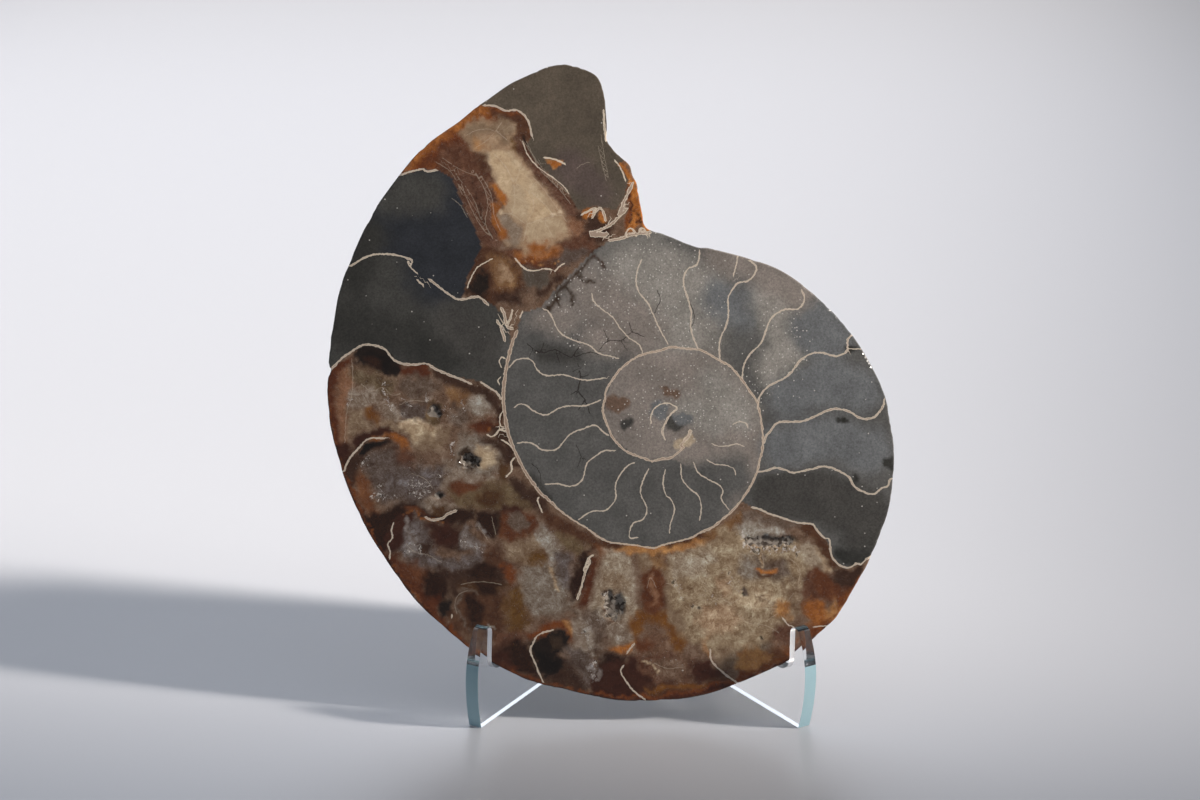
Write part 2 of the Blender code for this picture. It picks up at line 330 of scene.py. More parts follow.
edge = smooth_through(on_face(OUTLINE), EDGE_STEPS, closed=True)
edge_along = np.roll(edge, -1, axis=0) - np.roll(edge, 1, axis=0)
edge_inward = np.stack([edge_along[:, 1], -edge_along[:, 0]], axis=1)
edge_inward /= np.hypot(*edge_along.T)[:, None]
chips = np.clip(clouds(edge, 2.3, 1) + 0.6 * clouds(edge, 0.9, 2), 0, 2)
edge = edge + edge_inward * (EDGE_WEAR * chips)[:, None]

front = np.concatenate([
    rings_inside([EDGE_CHAMFER], edge),
    field_inside(FRONT_SPACING, EDGE_CHAMFER + FRONT_MARGIN, edge),
])
rows = mouth_rows()
back_field = field_inside(BACK_SPACING, BACK_MARGIN, edge)
row_line_gap = np.full(len(back_field), FAR)
for half_rows in np.array_split(rows, 2):
    row_line_gap = np.minimum(row_line_gap, np.abs(nearest_on(back_field, half_rows)[0]))
back = np.concatenate([
    rings_inside(BACK_RINGS, edge),
    rows,
    back_field[row_line_gap > MOUTH_ROW_CLEARANCE],
])

edge_count, front_count = len(edge), len(front)
face_places = np.concatenate([edge, front, back])
depths = np.concatenate([
    np.full(edge_count, EDGE_CHAMFER),
    void_depth(front),
    np.maximum(shell_depth(back, np.abs(nearest_on(back, edge, closed=True)[0])), 0.5),
])
front_faces = triangles(face_places[:edge_count + front_count], edge)
back_faces = triangles(np.concatenate([edge, back]), edge)
back_faces = np.where(back_faces < edge_count, back_faces, back_faces + front_count)[:, ::-1]
corners = np.stack([face_places[:, 0], depths, face_places[:, 1]], axis=1)
stone_mesh = bpy.data.meshes.new("polished_stone")
stone_mesh.from_pydata(corners.tolist(), [], np.concatenate([front_faces, back_faces]).tolist())
stone_mesh.transform(FACE_TO_WORLD)
stone_mesh.validate()
stone = bpy.data.objects.new("polished_stone", stone_mesh)
bpy.context.scene.collection.objects.link(stone)
bpy.ops.object.select_all(action="DESELECT")
stone.select_set(True)
bpy.context.view_layer.objects.active = stone
bpy.ops.object.shade_smooth_by_angle(angle=math.radians(35))


# The stone: what its cut shows
# Each chamber of the shell filled in its own way: grey sediment that set hard, or clear calcite
# that grew inwards from the walls, stained by iron from cream through amber to red-brown. The
# walls between are thin pale lines. All of it is laid on the fine mesh place by place.

SPIRAL_WALL = [
    (1.5, [(690, 432), (686, 440), (680, 447), (683, 449), (670, 459), (661, 460), (651, 462),
           (643, 459), (632, 455), (622, 449), (613, 439), (608, 428), (604, 417), (602.5, 407),
           (605, 400), (606, 391), (613, 379.5), (618.5, 372), (626, 365), (634, 359.5),
           (645, 354.5), (663, 351), (672, 348), (688, 350), (700, 351), (707, 354),
           (715.5, 359), (722, 363), (732, 369), (740.5, 379), (745, 385), (751, 394),
           (757, 403), (760, 414.5), (762, 428), (763, 441), (762, 453), (759, 465), (755, 478),
           (749, 490), (740, 503), (730, 514), (722, 520.5), (711, 529), (699, 534)]),
    (1.1, [(711, 529), (699, 534), (690, 539), (676, 542.5), (661, 546), (651, 549), (634, 546),
           (615, 543.5), (605, 541.5), (595, 536)]),
    (1.2, [(605, 541.5), (595, 536), (585, 528), (568.5, 517.5), (555, 507), (543.5, 496),
           (534, 485)]),
    (2.3, [(555, 507), (543.5, 496), (534, 485), (524, 470.5), (516.5, 455), (509, 436),
           (505, 416.5), (503.5, 397), (504.5, 381), (507, 366), (510, 353),
           (514, 339), (518.5, 329.5)]),
]
CHAMBER_WALLS = [
    (1.0, [(702, 250), (701.7, 258.5), (699, 266), (690, 270), (686, 278), (685.6, 286),
           (688, 294.5), (691, 305), (693, 314.5), (692, 327), (694.5, 339), (699, 350)]),
    (0.8, [(740.4, 257.7), (738.5, 267), (735.6, 278)]),
    (1.1, [(751, 262), (757, 266), (759, 271), (756, 278), (750, 283), (740, 285), (734, 292),
           (730, 300), (730, 310), (730, 319), (727, 329), (722.5, 338), (720.4, 348), (721, 361)]),
    (1.1, [(804, 292), (807, 302), (802.6, 310), (798, 312), (787, 312), (777, 317), (771, 324),
           (767, 335), (762, 346), (753, 354.5), (747, 362.5), (744, 371), (743, 381)]),
    (1.3, [(855, 338), (850, 342.6), (849.6, 352), (846, 357), (837, 359.5), (828, 357),
           (820, 355.5), (810, 358), (801, 364), (793, 374.5), (783, 382), (769, 389),
           (760, 399.5), (758, 411)]),
    (0.9, [(849.6, 352), (863, 353)]),
    (1.4, [(886, 402), (885, 410), (880, 417), (875, 421.5), (867, 423), (859, 421),
           (851, 415.5), (838, 412.5), (827, 414.5), (815, 420), (804, 424), (793, 425),
           (782, 424.5), (775.5, 427.5), (770.6, 434), (766.6, 438), (764, 446.5)]),
    (1.3, [(893, 483), (890, 485), (888, 491), (882, 492.6), (876, 497.5), (870, 498.6),
           (863.5, 496), (857, 493), (852, 487), (849, 481), (841, 476), (833, 472),
           (823.5, 470), (814, 472), (804, 474), (793, 476), (785, 473), (775, 470.5),
           (766, 473.5), (757, 474.5)]),
    (1.3, [(750.5, 510), (759, 512), (769, 517), (783, 521.5), (796, 526), (811, 527.5),
           (814.6, 532), (819.5, 538.6), (824, 542), (828, 543), (829, 549), (830, 559),
           (836, 567.5), (844, 572), (851, 571), (855, 568), (860, 569), (865, 564), (870, 561)]),
    (0.9, [(510, 366), (516.5, 359), (526, 357), (533, 360), (538, 369), (547, 375), (563, 374),
           (576, 378), (588, 380), (604.6, 378)]),
    (0.9, [(514, 406.5), (518.5, 403), (526, 404), (532, 409), (540, 413), (547, 414),
           (557, 408.5), (566.5, 405.6), (584, 405.6), (593.5, 403), (601, 400)]),
    (0.9, [(516.5, 442), (526, 441), (535, 444), (541.5, 449), (555, 449), (563, 441),
           (570, 433.5), (584, 428), (595, 425), (602, 431.5), (609, 436)]),
    (0.9, [(614.6, 451), (603, 451), (595, 456), (586, 463), (583, 474), (579, 482),
           (568.5, 486), (557, 483), (543.5, 483.5)]),
    (0.8, [(634, 463), (626, 466.5), (618.5, 476), (614, 486), (614.6, 497), (611, 504),
           (603, 511), (590, 511), (576, 520)]),
    (0.8, [(648, 469), (642.5, 480), (639, 493.5), (645.4, 509), (641.5, 520), (631, 524),
           (627, 538), (636, 538)]),
    (0.8, [(664.6, 470), (662, 482), (664, 495), (670, 501), (673, 511), (668.5, 526),
           (667.5, 534)]),
    (0.8, [(680, 465), (681, 480), (689, 490.6), (697, 497), (700, 509), (698, 522)]),
    (0.8, [(692.5, 463), (697, 474), (709, 482), (718.5, 487), (722, 493.5), (720, 501),
           (728, 512)]),
    (0.7, [(706, 461), (713, 465.6), (726, 467.5), (733, 471), (735, 477)]),
    (0.7, [(711, 445), (718.5, 448), (728, 448), (736, 446), (744, 449)]),
    (0.7, [(732, 427), (739, 424), (746, 425), (748, 430)]),
    (0.8, [(543.5, 307.5), (550, 311), (554, 318), (559, 329.6), (566.5, 336), (578, 341),
           (590, 345), (599, 353), (611, 356.5), (620, 359)]),
    (0.8, [(593.5, 293), (595, 301), (603, 309), (614.6, 318), (622, 329.6), (631, 339),
           (640, 345), (643.5, 353)]),
    (0.9, [(644, 260), (639, 272), (638, 283.5), (641.5, 294), (650, 304.6), (654, 314),
           (660, 328), (669, 345)]),
    (1.4, [(331.6, 366), (336, 362), (344, 354), (353, 348), (361, 343), (369, 341), (379, 343),
           (387, 347), (393, 355), (401, 360), (413, 362), (427, 360.5)]),
    (1.4, [(428, 361), (437, 367), (451, 373), (462, 377.5), (472, 382)]),
    (1.3, [(481, 380), (489.5, 386), (497, 391), (501.5, 398)]),
    (1.2, [(344, 467), (347, 459), (352, 451), (360, 443), (364.5, 438), (371, 434.6),
           (384.5, 435)]),
    (1.0, [(388, 556), (388, 546.5), (386, 540), (391, 534), (390, 526), (392.5, 519)]),
    (1.6, [(423, 513.6), (430, 517), (440, 516), (446, 511.5), (455, 508)]),
    (1.0, [(449, 611), (448.6, 615)]),
    (1.1, [(550, 629), (541, 631), (533, 635), (529.6, 642), (527, 646), (527, 652),
           (532, 663.5), (534, 670), (539, 681)]),
    (1.3, [(631, 644), (625, 651), (623, 654)]),
    (1.1, [(620, 666), (616.5, 672), (623, 683.5), (630, 692), (641, 701)]),
    (1.1, [(707, 651), (707, 661), (713, 669), (723, 678), (734, 686)]),
    (0.8, [(780, 621), (785, 628), (792, 631)]),
    (0.7, [(810, 631), (825, 630)]),
    (1.3, [(353, 263), (367, 255), (377, 251.5), (392, 251.5), (405, 254), (414, 258),
           (414, 262)]),
    (0.9, [(410, 260), (414, 266), (420.5, 272)]),
    (1.2, [(419, 277), (426, 284)]),
    (1.5, [(431, 277), (440, 284), (449, 291), (461.5, 298), (479.5, 295), (490, 304)]),
    (1.3, [(487, 104), (500, 105), (510, 110), (520.5, 109), (528, 114), (533, 122),
           (536, 135)]),
    (1.3, [(403, 173), (415, 169.5), (426, 167), (431, 169.5), (441, 168)]),
]
HAIRS = [
    (0.5, [(497, 152), (508, 164), (516, 180), (518, 200), (514, 214)]),
    (0.4, [(518, 182), (531, 190), (537, 206), (529, 222)]),
    (0.5, [(532, 189), (547, 203), (557, 215)]), (0.4, [(526, 160), (519, 182)]),
    (0.6, [(505, 212), (514, 213), (523, 219), (529, 226), (526, 240)]),
    (0.5, [(529, 224), (546, 218), (566, 214)]), (0.4, [(546, 218), (556, 238)]),
    (0.4, [(540, 180), (532, 190)]), (0.4, [(470, 134), (484, 128), (500, 130), (512, 140)]),
    (0.4, [(480, 146), (490, 140), (498, 132)]), (0.4, [(500, 130), (506, 121)]),
    (0.5, [(456, 164), (466, 186), (474, 206), (486, 228), (500, 240)]),
    (0.5, [(476, 168), (487, 186), (491, 204), (488, 222), (496, 238)]),
    (0.4, [(446, 156), (464, 168), (484, 176)]), (0.4, [(462, 176), (476, 196), (484, 218)]),
    (0.5, [(483, 172), (494, 192), (497, 214), (503, 230)]),
    (0.4, [(440, 160), (456, 172), (466, 194)]), (0.4, [(454, 196), (464, 204), (470, 216)]),
    (0.5, [(524, 138), (532, 154), (544, 170), (560, 186), (574, 204)]),
    (0.4, [(530, 140), (540, 160), (556, 178), (570, 192)]),
    (0.4, [(536, 176), (548, 190), (560, 208), (570, 222)]),
    (0.5, [(353, 355), (354, 372), (352, 395), (348, 405), (346, 420), (345, 440)]),
    (0.4, [(362, 380), (372, 388), (384, 384), (392, 392), (402, 390)]),
    (0.4, [(400, 402), (410, 398), (428, 399)]), (0.4, [(410, 470), (424, 476), (432, 486)]),
    (0.4, [(404, 540), (412, 548), (426, 552), (440, 560)]),
    (0.5, [(458, 582), (470, 580), (484, 580), (500, 583)]),
    (0.4, [(454, 612), (452, 600), (457, 591), (466, 588)]),
    (0.4, [(476, 524), (486, 538)]), (0.4, [(490, 514), (494, 534)]),
    (0.4, [(600, 600), (606, 594), (614, 600), (622, 598)]),
    (0.4, [(602, 612), (608, 618), (616, 612)]), (0.4, [(604, 628), (612, 622), (620, 628)]),
    (0.4, [(662, 584), (672, 588), (678, 598), (690, 600)]),
    (0.4, [(680, 566), (694, 572), (700, 584), (714, 590)]),
    (0.4, [(706, 606), (718, 600), (728, 606), (740, 598)]),
    (0.4, [(722, 582), (732, 590), (744, 586)]), (0.4, [(772, 608), (760, 600), (750, 596)]),
    (0.4, [(774, 612), (762, 611), (752, 612)]), (0.4, [(778, 606), (778, 592)]),
    (0.4, [(784, 606), (792, 596)]), (0.4, [(776, 616), (764, 624)]),
    (0.5, [(761, 556), (762, 569)]), (0.4, [(786, 560), (798, 572), (796, 590)]),
    (0.4, [(650, 664), (664, 670), (680, 668)]), (0.4, [(644, 590), (648, 578), (654, 590)]),
    (0.4, [(734, 616), (746, 626), (762, 628), (776, 636)]),
    (0.4, [(605, 134), (608, 156), (612, 178)]), (0.4, [(602, 146), (606, 166), (610, 182)]),
    (0.4, [(580, 168), (586, 164), (594, 162)]),
]
CRACKS = [
    (0.6, [(527, 342), (541, 352), (556, 349), (572, 357), (590, 352), (600, 355)]),
    (0.5, [(541, 352), (545, 341)]), (0.5, [(556, 349), (560, 362)]),
    (0.5, [(572, 357), (580, 346), (578, 338)]), (0.5, [(534, 347), (530, 356)]),
    (0.7, [(578, 362), (581, 378), (578, 390), (585, 400), (590, 414)]),
    (0.5, [(581, 378), (589, 374)]), (0.5, [(578, 390), (571, 394)]),
    (0.5, [(585, 400), (578, 410)]), (0.5, [(581, 368), (573, 371)]),
    (0.6, [(600, 350), (609, 341), (622, 341), (633, 333), (646, 338)]),
    (0.5, [(609, 341), (605, 330)]), (0.5, [(622, 341), (628, 351)]),
    (0.5, [(633, 333), (630, 322)]), (0.5, [(656, 314), (662, 300), (658, 290)]),
    (0.5, [(690, 300), (696, 318), (690, 334)]), (0.5, [(575, 444), (580, 456), (576, 468)]),
    (0.5, [(580, 456), (586, 460)]), (0.5, [(530, 462), (538, 470), (540, 482)]),
]
WALL_FRAGMENTS = [
    (1.4, [(591, 555), (586, 558.5), (581, 571)]),
    (1.5, [(588, 561), (583, 571), (579, 585), (574, 600)]),
    (0.6, [(526, 139), (531, 153), (541, 166), (556, 177), (567, 186), (572, 194)]),
    (1.0, [(547, 157), (559, 159), (569, 164)]),
    (1.0, [(517, 257), (526, 267), (535, 270), (546, 268), (554, 269.5)]),
    (0.9, [(556, 272), (561, 266), (567, 263)]),
    (0.8, [(495, 257), (479.5, 266), (472, 278.5), (469, 287)]),
    (2.2, [(636.5, 183), (631, 193.5), (625, 207), (621, 216)]),
    (2.0, [(631, 208), (623, 216), (613, 225), (603, 230), (592, 233)]),
    (1.6, [(595, 218), (598, 212), (603, 208), (606, 212), (608.5, 222)]),
    (1.4, [(583.5, 215), (591, 211), (599, 208)]),
    (3.2, [(592, 234), (600, 235), (611, 234)]),
    (2.0, [(611, 241), (623, 239), (631, 236), (644, 234), (654, 233)]),
    (1.1, [(628, 237), (630, 230.5), (634, 229), (637, 232), (638, 236)]),
    (1.1, [(641, 235), (642.5, 230), (645, 228.5), (648, 231), (649, 235)]),
    (1.5, [(608, 110), (608.5, 125), (610, 142)]),
    (0.9, [(618, 160), (624, 168), (629, 181)]),
    (1.9, [(503, 306), (506, 315), (508, 325), (514, 328)]),
    (1.4, [(508, 325), (512, 316), (514, 308)]),
    (1.9, [(498, 319), (502, 326), (506, 340)]),
    (1.0, [(521, 317), (524, 310)]),
    (0.8, [(502, 366), (500, 360), (503, 355), (506, 358)]),
    (0.8, [(500, 383), (498, 379), (501, 376)]),
    (0.8, [(503, 410), (500, 414), (500, 424), (504, 426)]),
    (1.0, [(486, 432), (491, 435), (496, 432), (499, 428), (505, 430)]),
    (1.1, [(500, 438), (506, 441), (513, 448)]),
    (1.0, [(514, 456), (510, 461), (511, 469), (505, 475)]),
    (1.0, [(538, 496), (536, 499.5), (541, 512)]),
    (2.6, [(690, 431), (688, 438), (683, 443)]),
    (0.8, [(651, 425), (651, 415), (657, 407), (667, 404), (677, 408)]),
    (1.3, [(678, 409), (670, 416), (665, 424), (662, 433), (665, 441)]),
]

INNER_COIL = [
    (523, 312), (543, 306), (555, 291), (566, 280), (580, 266), (595, 252), (612, 241),
    (640, 236), (660, 228), (720, 238), (800, 270), (880, 360), (905, 460), (880, 545),
    (870, 561), (860, 569), (851, 571), (844, 572), (836, 567.5), (830, 559), (829, 549),
    (824, 542), (814.6, 532), (811, 527.5), (796, 526), (783, 521.5), (769, 517),
    (750.5, 510), (740, 503), (730, 514), (711, 529), (690, 539), (676, 542.5), (651, 549),
    (634, 546), (605, 541.5), (585, 528), (568.5, 517.5), (555, 507), (543.5, 496),
    (534, 485), (524, 470.5), (516.5, 455), (509, 436), (505, 416.5), (503.5, 397),
    (504.5, 381), (507, 366), (510, 353), (514, 339), (518.5, 329.5),
]
INNER_DISC = [
    (670, 459), (651, 462), (632, 455), (613, 439), (604, 417), (605, 400), (613, 379.5),
    (626, 365), (645, 354.5), (672, 348), (700, 351), (722, 363), (740.5, 379), (757, 403),
    (762, 428), (763, 453), (755, 478), (740, 503), (722, 520), (700, 500), (690, 470),
]
MIDDLE_LEFT_CHAMBER = [
    (325, 366), (336, 362), (353, 348), (369, 341), (387, 347), (401, 360), (427, 360.5),
    (451, 373), (481, 380), (497, 391), (504, 400), (507, 366), (512, 340), (508, 318),
    (498, 306), (479.5, 295), (461.5, 298), (440, 284), (420, 272), (405, 254), (377, 251.5),
    (353, 263), (320, 280),
]
UPPER_LEFT_CHAMBER = [
    (340, 270), (353, 263), (377, 251.5), (405, 254), (420, 272), (440, 284), (461.5, 298),
    (466, 290), (469, 275), (476, 262), (484, 245), (478, 228), (468, 208), (461, 190),
    (456, 176), (441, 168), (426, 167), (403, 173), (380, 170),
]
TIP_CHAMBER = [
    (487, 104), (500, 105), (510, 110), (520.5, 109), (528, 114), (533, 122), (536, 135),
    (531, 145), (538, 160), (556, 177), (572, 194), (580, 210), (598, 206), (618, 210),
    (628, 195), (632, 180), (622, 165), (640, 150), (640, 60), (560, 50), (470, 95),
]

STAINS = {
    "blue_black": "2b2d32", "charcoal": "33322f", "slate": "42413e", "tip_grey": "584f44",
    "mid_grey": "5b5a58", "cool_grey": "6c6e70", "warm_grey": "847c76", "pale_grey": "908c86",
    "brown_grey": "454340", "pocket_grey": "514a44",
    "black": "150e0a", "soot": "1f1611", "olive_dark": "392b20", "dark_brown": "2c190f",
    "maroon": "3a1f15", "umber": "3c291f", "olive_brown": "4b331e", "brown": "4f3424",
    "umber_rose": "5b3f32", "mahogany": "5a3c2d", "red_brown": "522b17", "russet": "5c3620",
    "rust": "6e3c1b", "rust_tan": "6f472d", "copper": "8f592b", "orange": "a5682f",
    "amber": "71491f", "honey": "a97c4e", "olive_amber": "5e421f", "olive": "584733",
    "olive_grey": "60513f", "olive_tan": "64543f", "tan_brown": "76583c", "rose_brown": "6d5343",
    "dusk": "574b46", "dusk_tan": "61534a", "lilac": "5e5554", "mauve": "7e7878",
    "pink_tan": "6e594b", "rose_tan": "83604a", "tan": "806e5c", "grey_crystal": "877a6e",
    "stone_grey": "7d746c", "stone_tan": "94846f", "stone_cream": "9c9183", "pale": "867a70",
    "sand": "a38c75", "cream": "b3a28b", "cream_light": "bfac92", "bright_cream": "cfc0aa",
    "haze": "95908a",
}
ZONES = [
    (None, "pink_tan", (1.0, 0.02, 0.6)),
    (TIP_CHAMBER, "tip_grey", (0.0, 0.12, 0.0)),
    (UPPER_LEFT_CHAMBER, "blue_black", (0.0, 0.05, 0.0)),
    (MIDDLE_LEFT_CHAMBER, "slate", (0.0, 0.08, 0.0)),
    (INNER_COIL, "mid_grey", (0.0, 0.25, 0.0)),
    (INNER_DISC, "warm_grey", (0.0, 0.7, 0.0)),
]
SEDIMENT_STROKES = [
    ("blue_black", 34, 30, [(440, 215), (440, 270)]),
    ("slate", 22, 24, [(395, 190), (430, 190)]),
    ("charcoal", 20, 30, [(370, 235), (355, 275)]),
    ("charcoal", 22, 26, [(345, 320), (400, 335), (440, 350)]),
    ("brown_grey", 20, 26, [(455, 320), (490, 350)]),
    ("dusk", 16, 20, [(572, 165), (600, 190)]),
    ("tip_grey", 20, 24, [(560, 80), (560, 110)]),
    ("pale_grey", 34, 40, [(640, 270), (700, 300), (690, 330)]),
    ("warm_grey", 26, 30, [(590, 290), (640, 330)]),
    ("warm_grey", 20, 24, [(545, 330), (560, 320)]),
    ("mid_grey", 24, 26, [(530, 350), (560, 360)]),
    ("brown_grey", 8, 14, [(545, 352), (575, 358)]), ("mid_grey", 10, 16, [(598, 372), (608, 366)]),
    ("mid_grey", 26, 26, [(540, 395), (545, 430), (560, 460)]),
    ("cool_grey", 18, 22, [(720, 300), (745, 315), (760, 290)]),
    ("pale_grey", 18, 22, [(770, 300), (790, 345), (775, 370)]),
    ("cool_grey", 24, 22, [(815, 330), (830, 345)]),
    ("cool_grey", 22, 20, [(790, 400), (830, 385), (860, 395)]),
    ("cool_grey", 22, 20, [(785, 450), (830, 440), (870, 455)]),
    ("brown_grey", 26, 14, [(775, 500), (820, 500), (865, 520)]),
    ("brown_grey", 12, 12, [(855, 545), (875, 545)]), ("charcoal", 7, 8, [(838, 560), (862, 560)]),
    ("warm_grey", 26, 30, [(640, 400), (660, 380), (700, 380)]),
    ("pale_grey", 18, 22, [(715, 385), (740, 415)]),
    ("pale_grey", 14, 18, [(690, 410), (715, 425)]),
    ("mid_grey", 30, 26, [(560, 480), (600, 510), (650, 520), (700, 505)]),
    ("mid_grey", 22, 24, [(640, 490), (690, 490), (730, 480)]),
    ("warm_grey", 16, 22, [(600, 340), (616, 338)]),
    ("warm_grey", 16, 22, [(722, 258), (748, 266), (775, 280), (800, 296)]),
    ("olive_dark", 2, 4, [(548, 310), (556, 298), (566, 286), (580, 272), (596, 258)]),
    ("olive_dark", 1.5, 3, [(566, 286), (574, 296), (571, 304)]),
    ("olive_dark", 1.5, 3, [(580, 272), (590, 282), (598, 280)]),
    ("olive_dark", 1.2, 2, [(556, 298), (562, 306)]), ("umber", 1.2, 2, [(596, 258), (606, 266)]),
    ("brown_grey", 6, 5, [(530, 480), (545, 500)]),
    ("charcoal", 4, 3, [(843, 424), (846, 425)]),
    ("charcoal", 4, 3, [(853, 481), (855, 483)]),
    ("charcoal", 4, 3, [(850, 353), (855, 353)]),
    ("charcoal", 5, 3, [(886, 468), (891, 468)]),
    ("pink_tan", 5, 3, [(667, 392), (675, 394)]),
    ("brown_grey", 7, 3, [(671, 425), (675, 425)]),
    ("cream", 5, 3, [(680, 446), (690, 440)]),
    ("pink_tan", 8, 4, [(612, 402), (620, 404)]),
    ("brown_grey", 5, 3, [(625, 423), (629, 423)]),
    ("cool_grey", 7, 4, [(657, 410), (663, 412)]),
    ("cool_grey", 7, 4, [(681, 420), (686, 420)]),
]
TIP_FRAGMENT = [(547, 156), (569, 161), (557, 170)]
